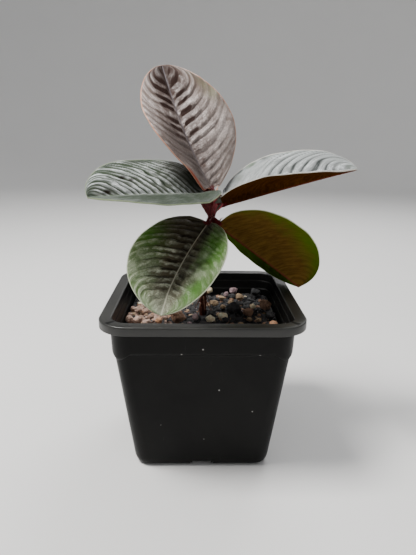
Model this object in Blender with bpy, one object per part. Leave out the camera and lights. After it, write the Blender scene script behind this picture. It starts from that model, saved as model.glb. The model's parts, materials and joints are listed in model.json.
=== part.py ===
"""Potted labisia: a square nursery pot of grit holding one stem, five leaves and a new leaf.

Row frame: metres, +Z up, origin at the centre of the pot's flat base, -Y is the front.
"""
import math
import random

import bmesh
import bpy
from mathutils import Matrix, Vector, noise
from mathutils.bvhtree import BVHTree

MM = 0.001
GAP = 0.3  # clearance between pieces that touch, mm

# Pot, in millimetres
POT_HEIGHT = 84.0
RIM_HALF = 50.0
RIM_RADIUS = 15.4
RIM_FACE = 6.2
LIP_DROP = 4.4
SKIN = 1.2
COLLAR_HALF = 44.9
COLLAR_DEPTH = 16.2
COLLAR_CORNER_EXTRA = 3.4
BODY_HALF_TOP = 43.1
BODY_HALF_BASE = 35.8
BODY_RADIUS = 8.0
BASE_ROUND = 3.6
FLOOR = 1.8
LEDGE_DEPTHS = (4.6, 9.5)
SLOT_WIDTH = 12.0
SLOT_HEIGHT = 3.0
SLOT_REACH = 18.0
DRAIN_RADIUS = 3.5
DRAIN_OFFSET = 21.0
CORNER_STEPS = 6

# Grit filling, in millimetres
SOIL_LEVEL = 72.0
SOIL_BUMP = 0.9
SOIL_RINGS = 9

# Stem, in millimetres: height, sideways position, depth position, radius
STEM_POINTS = (
    (66.0, 0.2, 3.6, 1.9),
    (74.0, 0.3, 3.8, 1.8),
    (92.0, 1.2, 4.2, 1.35),
    (112.0, 2.8, 4.4, 1.35),
    (124.0, 3.9, 4.4, 1.5),
    (131.0, 4.9, 4.5, 1.55),
)
SOCKET_RADIUS = 2.4

# Leaves: lengths in millimetres, angles in degrees.
# heading turns from +X towards +Y, climb is above level, roll tips the left half up.
LEAVES = {
    "leaf_upper": dict(
        attach=(5.2, 6.1, 131.8), base=(4.2, 6.4, 141.0), heading=150.5, climb=56.5, roll=-14.5,
        length=72.5, half_width=28.4, fold=24.5, droop=-6.5, sweep=-27.0, twist=-14.0,
        bias=0.89, fullness=0.62,
    ),
    "leaf_left": dict(
        attach=(4.0, 3.0, 131.6), base=(2.6, 3.0, 138.8), heading=212.5, climb=3.0, roll=-22.0,
        length=67.5, half_width=25.2, fold=17.0, droop=3.5, sweep=3.0, twist=0.0,
        bias=0.88, fullness=0.46,
    ),
    "leaf_right": dict(
        attach=(6.8, 3.5, 128.0), base=(9.8, 3.7, 132.2), heading=-9.5, climb=16.5, roll=16.0,
        length=71.5, half_width=25.5, fold=36.0, droop=1.0, sweep=1.0, twist=21.0,
        bias=0.61, fullness=0.59,
    ),
    "leaf_front": dict(
        attach=(3.2, 1.5, 125.3), base=(2.6, 0.4, 123.4), heading=-128.5, climb=-34.5, roll=-8.5,
        length=61.5, half_width=26.1, fold=22.5, droop=5.0, sweep=20.0, twist=6.5,
        bias=0.99, fullness=0.48,
    ),
    "leaf_lower_right": dict(
        attach=(6.45, 3.3, 125.6), base=(7.9, 1.5, 123.3), heading=2.0, climb=-38.5, roll=-28.0,
        length=60.0, half_width=32.0, fold=20.5, droop=0.0, sweep=12.5, twist=1.5,
        bias=0.9, fullness=0.39,
    ),
}
BLADE_ROWS = 36
PETIOLE_ROWS = 4
ACROSS = (1.0, 0.68, 0.34, 0.0, -0.34, -0.68, -1.0)
BLADE_SKIN = 0.8
EDGE_SKIN = 0.5
RIB_DEPTH = 0.9
PETIOLE_HALF = 1.1
PETIOLE_DEPTH = 1.7
BEND_SHARE = 0.35
VEIN_COUNT = 10
VEIN_LEAN = 0.17
VEIN_RELIEF = 0.45
ARCH = 0.05

# Newest leaf, still rolled into a spike, in millimetres
SPIKE_FOOT = (5.8, 3.9, 131.5)
SPIKE_LENGTH = 11.0
SPIKE_HALF = (1.0, 0.75)
SPIKE_LEAN = 1.8

# Loose grit on top: sideways and depth position, length in millimetres, kind
GRAINS = (
    (-41, 7, 3.6, "pink"),
    (-36, 2, 4.6, "pink"),
    (-40, -3, 3.5, "pink"),
    (-41, -11, 4.8, "pink"),
    (-34.6, -15.2, 5.4, "pink"),
    (-33, -9, 3.0, "pink"),
    (-31, 1, 4.0, "pink"),
    (-28, -10, 4.4, "pink"),
    (-29, -19, 5.2, "pink"),
    (-23, -15, 4.4, "orange"),
    (-20, -10, 3.8, "pink"),
    (-13, -13, 9.4, "brown"),
    (-4, -9, 4.6, "mauve"),
    (4, -13, 5.5, "cream"),
    (11, -7, 5.0, "cream"),
    (12, -15, 4.2, "dark"),
    (4, 39, 5.8, "cream"),
    (7, 14, 5.8, "tan"),
    (5, -3, 4.2, "dark"),
    (12, 25, 3.8, "tan"),
    (12, 8, 3.6, "tan"),
    (15, 31, 4.0, "mauve"),
    (17, 18, 4.4, "tan"),
    (20, 39, 5.2, "mauve"),
    (23, 24, 5.4, "tan"),
    (17, 1, 8.2, "dark"),
    (20, -17, 3.2, "tan"),
    (25, -3, 6.2, "brown"),
    (29, 9, 3.8, "cream"),
    (36, 7, 8.4, "brown"),
    (25, -11, 3.4, "tan"),
    (30, -12, 3.4, "tan"),
    (37, -7, 6.4, "dark"),
    (37, -18, 4.4, "orange"),
    (33, 33, 6.4, "dark"),
)

COLOURS = {
    "pot": ((0.022, 0.022, 0.021), 0.45),
    "soil": ((0.045, 0.040, 0.036), 0.95),
    "stem": ((0.16, 0.035, 0.040), 0.60),
    "leaf_upper": ((0.33, 0.25, 0.23), 0.45),
    "leaf_left": ((0.22, 0.27, 0.22), 0.45),
    "leaf_right": ((0.30, 0.28, 0.20), 0.45),
    "leaf_front": ((0.20, 0.24, 0.13), 0.45),
    "leaf_lower_right": ((0.24, 0.19, 0.07), 0.50),
    "young_leaf": ((0.75, 0.30, 0.22), 0.50),
    "grain_pink": ((0.55, 0.38, 0.32), 0.90),
    "grain_orange": ((0.60, 0.32, 0.16), 0.90),
    "grain_brown": ((0.27, 0.15, 0.09), 0.90),
    "grain_mauve": ((0.33, 0.23, 0.25), 0.90),
    "grain_cream": ((0.72, 0.60, 0.44), 0.90),
    "grain_tan": ((0.46, 0.34, 0.21), 0.90),
    "grain_dark": ((0.05, 0.05, 0.055), 0.90),
}


def make_material(name):
    colour, roughness = COLOURS[name]
    material = bpy.data.materials.new(name)
    material.use_nodes = True
    shader = material.node_tree.nodes["Principled BSDF"]
    shader.inputs["Base Color"].default_value = (*colour, 1.0)
    shader.inputs["Roughness"].default_value = roughness
    shader.inputs["Metallic"].default_value = 0.0
    material.diffuse_color = (*colour, 1.0)
    return material


def finish_object(name, bm, material, collection, smooth=True):
    """Turn a bmesh in millimetres into a named object in metres."""
    bmesh.ops.recalc_face_normals(bm, faces=bm.faces)
    bmesh.ops.transform(bm, matrix=Matrix.Scale(MM, 4), verts=bm.verts)
    mesh = bpy.data.meshes.new(name)
    bm.to_mesh(mesh)
    bm.free()
    mesh.polygons.foreach_set("use_smooth", [smooth] * len(mesh.polygons))
    obj = bpy.data.objects.new(name, mesh)
    collection.objects.link(obj)
    if material:
        mesh.materials.append(material)
    return obj


def loft(rings, strip_caps):
    """Join equal rings of points into one closed skin.

    strip_caps closes an end by pairing the ring's two halves, else a centre fan closes it.
    """
    bm = bmesh.new()
    rows = [[bm.verts.new(point) for point in ring] for ring in rings]
    count = len(rows[0])
    for lower, upper in zip(rows, rows[1:]):
        for i in range(count):
            j = (i + 1) % count
            bm.faces.new((lower[i], lower[j], upper[j], upper[i]))
    for row in (rows[0], rows[-1]):
        if strip_caps:
            for i in range(count // 2 - 1):
                bm.faces.new((row[i], row[i + 1], row[-i - 2], row[-i - 1]))
        else:
            middle = Vector((0.0, 0.0, 0.0))
            for vert in row:
                middle += vert.co / count
            hub = bm.verts.new(middle)
            for i in range(count):
                bm.faces.new((row[i], row[(i + 1) % count], hub))
    return bm


def rounded_square(half, radius, height, corner_drop=0.0):
    """One ring of a square with round corners; its corners can dip by corner_drop."""
    points = []
    for corner in range(4):
        for step in range(CORNER_STEPS + 1):
            share = step / CORNER_STEPS
            angle = math.radians(90.0 * (corner + share))
            middle = math.radians(90.0 * corner + 45.0)
            reach = (half - radius) * math.sqrt(2.0)
            x = reach * math.cos(middle) + radius * math.cos(angle)
            y = reach * math.sin(middle) + radius * math.sin(angle)
            points.append(Vector((x, y, height - corner_drop * math.sin(math.pi * share))))
    return points


def body_half(height):
    """Outside half width of the tapered body at a height."""
    share = height / (POT_HEIGHT - COLLAR_DEPTH)
    return BODY_HALF_BASE + (BODY_HALF_TOP - BODY_HALF_BASE) * share


def inner_half(height):
    """Inside half width of the pot at a height, with its two moulded ledges."""
    depth = POT_HEIGHT - height
    if depth < LEDGE_DEPTHS[0]:
        return RIM_HALF - RIM_FACE - 0.08 * depth
    if depth < LEDGE_DEPTHS[1]:
        return RIM_HALF - RIM_FACE - 0.7 - 0.1 * (depth - LEDGE_DEPTHS[0])
    if depth < COLLAR_DEPTH:
        return RIM_HALF - RIM_FACE - 1.7 - 0.02 * (depth - LEDGE_DEPTHS[1])
    return body_half(height) - SKIN


def inner_radius(height):
    """Inside corner radius, easing from the body's to the rim's."""
    depth = min(POT_HEIGHT - height, COLLAR_DEPTH + COLLAR_CORNER_EXTRA)
    share = depth / (COLLAR_DEPTH + COLLAR_CORNER_EXTRA)
    return (RIM_RADIUS - RIM_FACE) * (1.0 - share) + (BODY_RADIUS - SKIN) * share


def build_pot(collection, cutters, material):
    rings = [
        rounded_square(BODY_HALF_BASE - BASE_ROUND, BODY_RADIUS - 3.0, 0.0),
        rounded_square(BODY_HALF_BASE - 1.3, BODY_RADIUS - 1.2, 0.8),
        rounded_square(BODY_HALF_BASE - 0.1, BODY_RADIUS, BASE_ROUND),
    ]
    fold = POT_HEIGHT - COLLAR_DEPTH
    fold_half = body_half(fold - 0.6)
    collar_base = COLLAR_HALF - 0.03 * COLLAR_DEPTH
    collar_radius = RIM_RADIUS - (RIM_HALF - COLLAR_HALF)
    rings += [
        rounded_square(fold_half, BODY_RADIUS, fold - 0.6, COLLAR_CORNER_EXTRA),
        rounded_square(
            0.5 * (fold_half + collar_base), collar_radius - 1.1, fold, COLLAR_CORNER_EXTRA,
        ),
        rounded_square(collar_base, collar_radius, fold + 0.9, COLLAR_CORNER_EXTRA),
        rounded_square(COLLAR_HALF, collar_radius, POT_HEIGHT - LIP_DROP),
        rounded_square(COLLAR_HALF + 0.1, collar_radius + 0.1, POT_HEIGHT - SKIN),
        rounded_square(RIM_HALF - SKIN, RIM_RADIUS - SKIN, POT_HEIGHT - SKIN),
        rounded_square(RIM_HALF - SKIN, RIM_RADIUS - SKIN, POT_HEIGHT - LIP_DROP),
        rounded_square(RIM_HALF, RIM_RADIUS, POT_HEIGHT - LIP_DROP),
        rounded_square(RIM_HALF, RIM_RADIUS, POT_HEIGHT - 0.6),
        rounded_square(RIM_HALF - 0.6, RIM_RADIUS - 0.6, POT_HEIGHT),
        rounded_square(RIM_HALF - RIM_FACE + 0.4, RIM_RADIUS - RIM_FACE + 0.4, POT_HEIGHT),
    ]
    heights = [POT_HEIGHT - 0.4]
    for ledge in LEDGE_DEPTHS:
        heights += [POT_HEIGHT - ledge + 0.1, POT_HEIGHT - ledge - 0.1]
    heights += [fold + 0.1, fold - 1.4]
    for height in heights:
        rings.append(rounded_square(inner_half(height), inner_radius(height), height))
    low = fold - COLLAR_CORNER_EXTRA - 2.0
    rings += [
        rounded_square(body_half(low) - SKIN, BODY_RADIUS - SKIN, low),
        rounded_square(body_half(FLOOR + 2.0) - SKIN, BODY_RADIUS - SKIN, FLOOR + 2.0),
        rounded_square(BODY_HALF_BASE - SKIN - 1.6, BODY_RADIUS - SKIN - 1.0, FLOOR),
    ]
    pot = finish_object("pot", loft(rings, False), material, collection)

    def cut(name, bm):
        cutter = finish_object(name, bm, None, cutters, smooth=False)
        cutter.hide_render = True
        cutter.display_type = "WIRE"
        modifier = pot.modifiers.new(name, "BOOLEAN")
        modifier.operation = "DIFFERENCE"
        modifier.solver = "EXACT"
        modifier.object = cutter

    for side in range(4):
        bm = bmesh.new()
        bmesh.ops.create_cube(bm, size=1.0)
        bmesh.ops.scale(bm, vec=(SLOT_WIDTH, SLOT_REACH + 2.0, SLOT_HEIGHT + 4.0), verts=bm.verts)
        centre = BODY_HALF_BASE - SLOT_REACH / 2.0 + 1.0
        bmesh.ops.translate(bm, vec=(0.0, -centre, SLOT_HEIGHT / 2.0 - 2.0), verts=bm.verts)
        upright = [e for e in bm.edges if abs(e.verts[0].co.z - e.verts[1].co.z) < 0.01]
        upright = [e for e in upright if abs(e.verts[0].co.x - e.verts[1].co.x) < 0.01]
        upright = [e for e in upright if e.verts[0].co.z > 0.0]
        bmesh.ops.bevel(bm, geom=upright, offset=1.2, segments=2, affect="EDGES")
        turn = Matrix.Rotation(math.radians(90.0 * side), 4, "Z")
        bmesh.ops.transform(bm, matrix=turn, verts=bm.verts)
        cut(f"slot_cutter_{side + 1}", bm)
    for side in range(4):
        bm = bmesh.new()
        bmesh.ops.create_cone(
            bm, cap_ends=True, segments=20, radius1=DRAIN_RADIUS, radius2=DRAIN_RADIUS, depth=8.0,
        )
        shift = Matrix.Translation((DRAIN_OFFSET, DRAIN_OFFSET, 0.0))
        turn = Matrix.Rotation(math.radians(90.0 * side), 4, "Z")
        bmesh.ops.transform(bm, matrix=turn @ shift, verts=bm.verts)
        cut(f"drain_cutter_{side + 1}", bm)
    return pot


def soil_height(x, y):
    """Uneven top of the grit filling."""
    coarse = noise.noise(Vector((x * 0.09, y * 0.09, 3.0)))
    fine = noise.noise(Vector((x * 0.25, y * 0.25, 7.0)))
    return SOIL_LEVEL + SOIL_BUMP * (coarse + 0.7 * fine)


def build_soil(collection, cutters, material):
    inset = GAP
    low = POT_HEIGHT - COLLAR_DEPTH - COLLAR_CORNER_EXTRA - 2.0
    rings = [
        rounded_square(BODY_HALF_BASE - SKIN - 2.4, BODY_RADIUS - SKIN - 1.6, FLOOR + inset),
        rounded_square(
            body_half(FLOOR + 2.4) - SKIN - inset, BODY_RADIUS - SKIN - inset, FLOOR + 2.4,
        ),
        rounded_square(body_half(low) - SKIN - inset, BODY_RADIUS - SKIN - inset, low),
    ]
    fold = POT_HEIGHT - COLLAR_DEPTH - 1.4
    edge_half = inner_half(fold) - inset
    edge_radius = inner_radius(fold) - inset
    rings.append(rounded_square(edge_half, edge_radius, SOIL_LEVEL - 1.6))
    for ring in range(1, SOIL_RINGS):
        share = (1.0 - ring / SOIL_RINGS) ** 1.15
        half = max(edge_half * share, 2.0)
        radius = max(edge_radius * share, half * 0.35)
        points = rounded_square(half, radius, 0.0)
        for point in points:
            point.z = soil_height(point.x, point.y)
        rings.append(points)
    soil = finish_object("soil", loft(rings, False), material, collection, smooth=False)
    foot = STEM_POINTS[0]
    bm = bmesh.new()
    depth = 2.0 * (SOIL_LEVEL - foot[0] + GAP)
    bmesh.ops.create_cone(
        bm, cap_ends=True, segments=20, radius1=SOCKET_RADIUS, radius2=SOCKET_RADIUS, depth=depth,
    )
    bmesh.ops.translate(bm, vec=(foot[1], foot[2], SOIL_LEVEL), verts=bm.verts)
    cutter = finish_object("socket_cutter", bm, None, cutters, smooth=False)
    cutter.hide_render = True
    cutter.display_type = "WIRE"
    modifier = soil.modifiers.new("socket", "BOOLEAN")
    modifier.operation = "DIFFERENCE"
    modifier.solver = "EXACT"
    modifier.object = cutter
    return soil


def build_stem(collection, material):
    curve = bpy.data.curves.new("stem_path", "CURVE")
    curve.dimensions = "3D"
    curve.bevel_depth = 1.0
    curve.bevel_resolution = 3
    curve.use_fill_caps = True
    curve.resolution_u = 4
    spline = curve.splines.new("NURBS")
    spline.points.add(len(STEM_POINTS) - 1)
    for point, (height, x, y, radius) in zip(spline.points, STEM_POINTS):
        point.co = (x, y, height, 1.0)
        point.radius = radius
    spline.order_u = 3
    spline.use_endpoint_u = True
    path = bpy.data.objects.new("stem_path", curve)
    collection.objects.link(path)
    mesh = bpy.data.meshes.new_from_object(path.evaluated_get(bpy.context.evaluated_depsgraph_get()))
    bpy.data.objects.remove(path)
    bm = bmesh.new()
    bm.from_mesh(mesh)
    bpy.data.meshes.remove(mesh)
    bmesh.ops.remove_doubles(bm, verts=bm.verts, dist=0.01)
    return finish_object("stem", bm, material, collection)


def unit(heading, climb):
    heading = math.radians(heading)
    climb = math.radians(climb)
    level = math.cos(climb)
    return Vector((level * math.cos(heading), level * math.sin(heading), math.sin(climb)))


def blade_half(leaf, share):
    """Half width of the blade at a share of its length."""
    swell = max(math.sin(math.pi * share ** leaf["bias"]), 0.0)
    return leaf["half_width"] * swell ** leaf["fullness"]


def leaf_ring(leaf, centre, heading, climb, roll, half, share, petiole):
    """Closed section: top from the left edge to the right, then the underside back.

    petiole runs from 1 in the round leaf stalk to 0 in the flat blade.
    """
    left = Vector((-math.sin(math.radians(heading)), math.cos(math.radians(heading)), 0.0))
    up = unit(heading, climb).cross(left)
    roll = math.radians(roll)
    side = left * math.cos(roll) + up * math.sin(roll)
    top = up * math.cos(roll) - left * math.sin(roll)
    fold = math.radians(leaf["fold"])
    skin = BLADE_SKIN * (1.0 - 0.3 * share)
    upper = []
    lower = []
    for u in ACROSS:
        away = abs(u)
        lift = half * (away * math.sin(fold) + ARCH * math.sin(math.pi * away))
        wave = math.cos(2.0 * math.pi * VEIN_COUNT * (share - VEIN_LEAN * away ** 1.3))
        fade = math.sin(math.pi * away ** 0.8) * min(1.0, half / 12.0)
        lift += (1.0 - petiole) * VEIN_RELIEF * wave * fade
        flat = centre + side * (half * u * math.cos(fold)) + top * lift
        blade_depth = EDGE_SKIN + (skin - EDGE_SKIN) * min(1.0, 3.0 * (1.0 - away))
        rib = RIB_DEPTH * (1.0 - 0.8 * share)
        if away == 0.0:
            blade_depth += rib
        stalk_depth = EDGE_SKIN + (PETIOLE_DEPTH - EDGE_SKIN) * math.sqrt(1.0 - away * away)
        depth = petiole * stalk_depth + (1.0 - petiole) * blade_depth
        upper.append(flat)
        lower.append(flat - top * depth)
    return upper + lower[::-1]


def build_leaf(name, leaf, collection, material):
    base = Vector(leaf["base"])
    attach = Vector(leaf["attach"])
    start = unit(leaf["heading"], leaf["climb"])
    bend = base - start * (base - attach).length * BEND_SHARE
    rings = []
    for row in range(PETIOLE_ROWS):
        share = row / PETIOLE_ROWS
        centre = attach * (1.0 - share) ** 2 + bend * 2.0 * share * (1.0 - share) + base * share ** 2
        slope = (bend - attach) * (1.0 - share) + (base - bend) * share
        climb = math.degrees(math.asin(max(-1.0, min(1.0, slope.normalized().z))))
        rings.append(
            leaf_ring(leaf, centre, leaf["heading"], climb, leaf["roll"] * share, PETIOLE_HALF, 0.0, 1.0)
        )
    centre = base.copy()
    previous = 0.0
    for row in range(BLADE_ROWS + 1):
        even = row / BLADE_ROWS
        eased = 0.5 - 0.5 * math.cos(math.pi * even)
        share = 0.62 * even + 0.38 * eased
        middle = 0.5 * (share + previous)
        step = leaf["length"] * (share - previous)
        heading = leaf["heading"] + leaf["sweep"] * middle
        centre += unit(heading, leaf["climb"] - leaf["droop"] * middle) * step
        previous = share
        heading = leaf["heading"] + leaf["sweep"] * share
        climb = leaf["climb"] - leaf["droop"] * share
        roll = leaf["roll"] + leaf["twist"] * (share - 0.5)
        floor = PETIOLE_HALF if share < 0.5 else 0.45
        half = max(blade_half(leaf, share), floor)
        petiole = max(0.0, 1.0 - share / 0.04)
        rings.append(leaf_ring(leaf, centre, heading, climb, roll, half, share, petiole))
    return finish_object(name, loft(rings, True), material, collection)


def build_spike(collection, material):
    """Newest leaf, rolled into a short pointed spindle."""
    bm = bmesh.new()
    bmesh.ops.create_icosphere(bm, subdivisions=2, radius=1.0)
    for vert in bm.verts:
        height = 0.5 + 0.5 * vert.co.z
        taper = 1.0 - 0.45 * height
        vert.co.x *= SPIKE_HALF[0] * taper
        vert.co.y *= SPIKE_HALF[1] * taper
        vert.co.x += SPIKE_LEAN * height * height
        vert.co.z = SPIKE_LENGTH * height
    bmesh.ops.translate(bm, vec=SPIKE_FOOT, verts=bm.verts)
    return finish_object("young_leaf", bm, material, collection)


def build_grain(number, spec, ground, collection, material):
    """One broken grain of grit, set down on the filling with a small clearance."""
    x, y, length, kind = spec
    reach = inner_half(SOIL_LEVEL) - 0.6 * length - GAP
    x = max(-reach, min(reach, x))
    y = max(-reach, min(reach, y))
    dice = random.Random(100 + number)
    bm = bmesh.new()
    bmesh.ops.create_icosphere(bm, subdivisions=2, radius=1.0)
    seed = Vector((number * 3.7, number * 1.3, 0.5))
    for vert in bm.verts:
        swell = noise.noise(vert.co * 1.1 + seed)
        vert.co *= 1.0 + 0.30 * swell
    half = 0.5 * length
    size = (half, half * dice.uniform(0.7, 0.95), half * dice.uniform(0.65, 0.9))
    bmesh.ops.scale(bm, vec=size, verts=bm.verts)
    turn = Matrix.Rotation(dice.uniform(0.0, 6.28), 4, "Z")
    tip = Matrix.Rotation(dice.uniform(-0.5, 0.5), 4, "X")
    bmesh.ops.transform(bm, matrix=Matrix.Translation((x, y, 0.0)) @ turn @ tip, verts=bm.verts)
    lift = -1000.0
    for vert in bm.verts:
        above = Vector((vert.co.x, vert.co.y, 200.0))
        hit = ground.ray_cast(above, Vector((0.0, 0.0, -1.0)))[0]
        level = hit.z if hit else SOIL_LEVEL
        lift = max(lift, level - vert.co.z)
    bmesh.ops.translate(bm, vec=(0.0, 0.0, lift + GAP), verts=bm.verts)
    return finish_object(f"grain_{number:02d}", bm, material, collection, smooth=False)


def soil_tree(soil):
    """The plain top of the filling, in millimetres, for setting grains down."""
    points = [vert.co / MM for vert in soil.data.vertices]
    faces = [list(face.vertices) for face in soil.data.polygons]
    return BVHTree.FromPolygons(points, faces)


def main():
    for obj in list(bpy.data.objects):
        bpy.data.objects.remove(obj)
    collection = bpy.data.collections.new("potted_labisia")
    cutters = bpy.data.collections.new("cutters")
    bpy.context.scene.collection.children.link(collection)
    bpy.context.scene.collection.children.link(cutters)
    cutters.hide_render = True
    materials = {name: make_material(name) for name in COLOURS}
    build_pot(collection, cutters, materials["pot"])
    soil = build_soil(collection, cutters, materials["soil"])
    build_stem(collection, materials["stem"])
    for name, leaf in LEAVES.items():
        build_leaf(name, leaf, collection, materials[name])
    build_spike(collection, materials["young_leaf"])
    ground = soil_tree(soil)
    for number, spec in enumerate(GRAINS, 1):
        build_grain(number, spec, ground, collection, materials["grain_" + spec[3]])


main()
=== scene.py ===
"""Looks of the potted labisia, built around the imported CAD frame. Lengths in the tables are in mm."""

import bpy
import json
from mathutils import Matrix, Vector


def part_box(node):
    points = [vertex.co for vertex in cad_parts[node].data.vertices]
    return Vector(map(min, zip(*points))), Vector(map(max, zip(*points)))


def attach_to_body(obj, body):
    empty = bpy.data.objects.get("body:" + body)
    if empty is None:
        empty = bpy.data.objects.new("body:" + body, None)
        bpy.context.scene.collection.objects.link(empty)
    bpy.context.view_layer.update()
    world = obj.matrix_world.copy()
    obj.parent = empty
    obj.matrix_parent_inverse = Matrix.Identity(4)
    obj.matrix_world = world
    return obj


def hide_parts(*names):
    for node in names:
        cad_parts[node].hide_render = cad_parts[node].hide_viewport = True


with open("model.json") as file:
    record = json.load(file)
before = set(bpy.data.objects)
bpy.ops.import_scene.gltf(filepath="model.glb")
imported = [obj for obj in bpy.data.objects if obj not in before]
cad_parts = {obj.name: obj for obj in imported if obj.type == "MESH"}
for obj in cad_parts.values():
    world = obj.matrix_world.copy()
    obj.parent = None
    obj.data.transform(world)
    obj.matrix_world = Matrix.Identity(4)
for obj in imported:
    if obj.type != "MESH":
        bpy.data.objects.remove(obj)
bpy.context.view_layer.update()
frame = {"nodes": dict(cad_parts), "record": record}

import json
import math
import random

import bmesh
import bpy
import numpy as np
from mathutils import Matrix, Vector, noise

MM = 0.001
NODES = frame["nodes"]


# ---------------------------------------------------------------- small helpers
def box_mm(node):
    """Lowest and highest corner of a CAD node, in millimetres."""
    low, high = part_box(node)
    return np.array(low) / MM, np.array(high) / MM


def new_object(name, data):
    made = bpy.data.objects.new(name, data)
    bpy.context.scene.collection.objects.link(made)
    return made


def add_piece(name, verts_mm, faces, materials, replaced, face_materials=None):
    """Make a piece from points in mm, ride it on the root body and hide the CAD nodes it stands for."""
    mesh = bpy.data.meshes.new(name)
    mesh.from_pydata([tuple(v) for v in np.asarray(verts_mm) * MM], [], [tuple(f) for f in faces])
    for material in materials:
        mesh.materials.append(material)
    if face_materials is not None:
        mesh.polygons.foreach_set("material_index", np.asarray(face_materials, dtype=np.int32))
    mesh.polygons.foreach_set("use_smooth", [True] * len(mesh.polygons))
    bm = bmesh.new()
    bm.from_mesh(mesh)
    bmesh.ops.recalc_face_normals(bm, faces=bm.faces)
    bm.to_mesh(mesh)
    bm.free()
    mesh.update()
    piece = new_object(name, mesh)
    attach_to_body(piece, "root")
    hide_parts(*replaced)
    return piece


def store(piece, name, values):
    """Keep one 3-vector for each vertex, for the material to read."""
    layer = piece.data.attributes.new(name, "FLOAT_VECTOR", "POINT")
    layer.data.foreach_set("vector", np.asarray(values, dtype=np.float32).ravel())


def loft_faces(rows, count):
    """Quads between successive rings of `count` points."""
    faces = []
    for row in range(0, (rows - 1) * count, count):
        for i in range(count):
            j = (i + 1) % count
            faces.append((row + i, row + j, row + count + j, row + count + i))
    return faces


def fan(start, count, hub):
    """Triangles from the ring that begins at `start` to one middle point."""
    return [(start + i, start + (i + 1) % count, hub) for i in range(count)]


def end_caps(rows, count):
    """Quads that close both ends of a loft whose rings go over `count` points and back under them."""
    return [
        (start + i, start + i + 1, start + 2 * count - 2 - i, start + 2 * count - 1 - i)
        for start in (0, (rows - 1) * 2 * count) for i in range(count - 1)
    ]


def circle(count):
    """Cosine and sine of evenly spaced angles."""
    angles = [2 * math.pi * i / count for i in range(count)]
    return [(math.cos(angle), math.sin(angle)) for angle in angles]


def tinted(colour, factor):
    return tuple(factor * channel for channel in colour)


class Pile:
    """Closed bodies gathered into one piece, with a material number for each face."""

    def __init__(self):
        self.parts = []
        self.faces = []
        self.kinds = []
        self.total = 0

    def add(self, verts, faces, kinds):
        """Take in a body. `kinds` is one number, or a list with one for each face."""
        self.parts.append(np.array(verts))
        self.faces += [tuple(i + self.total for i in face) for face in faces]
        self.kinds += [kinds] * len(faces) if isinstance(kinds, int) else kinds
        self.total += len(verts)

    def finish(self, name, materials, node):
        verts = np.vstack(self.parts)
        return add_piece(name, verts, self.faces, materials, [node], face_materials=self.kinds)


# ---------------------------------------------------------------- node graphs
class Graph:
    """Short way to wire a material."""

    def __init__(self, name):
        self.material = bpy.data.materials.new(name)
        self.material.use_nodes = True
        self.tree = self.material.node_tree
        self.shader = self.tree.nodes["Principled BSDF"]
        self.coords = self.node("TexCoord", {}, "Object")

    def put(self, value, socket):
        if isinstance(value, bpy.types.NodeSocket):
            self.tree.links.new(value, socket)
        elif isinstance(value, tuple) and socket.type == "RGBA":
            socket.default_value = (*value, 1.0)
        else:
            socket.default_value = value

    def node(self, kind, inputs, output=0, **settings):
        """Add a shader node, fill its inputs and return one of its outputs."""
        made = self.tree.nodes.new("ShaderNode" + kind)
        for key, value in settings.items():
            setattr(made, key, value)
        for key, value in inputs.items():
            self.put(value, made.inputs[key])
        return made.outputs[output]

    def split(self, vector):
        return self.node("SeparateXYZ", {0: vector}).node.outputs

    def vector(self, name):
        return self.node("Attribute", {}, "Vector", attribute_name=name)

    def attribute(self, name):
        return self.split(self.vector(name))

    def stretch(self, vector, scale):
        return self.node("VectorMath", {0: vector, 1: scale}, operation="MULTIPLY")

    def noise(self, scale, detail=4.0, rough=0.55, vector=None, warp=0.0):
        inputs = {"Scale": scale, "Detail": detail, "Roughness": rough, "Distortion": warp}
        return self.node("TexNoise", {"Vector": vector or self.coords, **inputs}, "Fac")

    def cells(self, scale, vector=None, feature="F1"):
        inputs = {"Vector": vector or self.coords, "Scale": scale}
        return self.node("TexVoronoi", inputs, "Distance", feature=feature)

    def remap(self, value, low, high, to_low=0.0, to_high=1.0):
        inputs = dict(enumerate((value, low, high, to_low, to_high)))
        return self.node("MapRange", inputs, interpolation_type="SMOOTHSTEP")

    def math(self, operation, a, b=0.0):
        return self.node("Math", {0: a, 1: b}, operation=operation)

    def times(self, a, b):
        return self.math("MULTIPLY", a, b)

    def plus(self, a, b):
        return self.math("ADD", a, b)

    def mix(self, factor, a, b):
        return self.node("Mix", {0: factor, 6: a, 7: b}, 2, data_type="RGBA")

    def bump(self, height, strength, distance, under=None):
        inputs = {"Strength": strength, "Distance": distance, "Height": height}
        if under is not None:
            inputs["Normal"] = under
        return self.node("Bump", inputs)

    def finish(self, colour, roughness, normal=None, **extra):
        self.put(colour, self.shader.inputs["Base Color"])
        self.put(roughness, self.shader.inputs["Roughness"])
        if normal is not None:
            self.put(normal, self.shader.inputs["Normal"])
        for key, value in extra.items():
            self.put(value, self.shader.inputs[key.replace("_", " ")])
        return self.material


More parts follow.
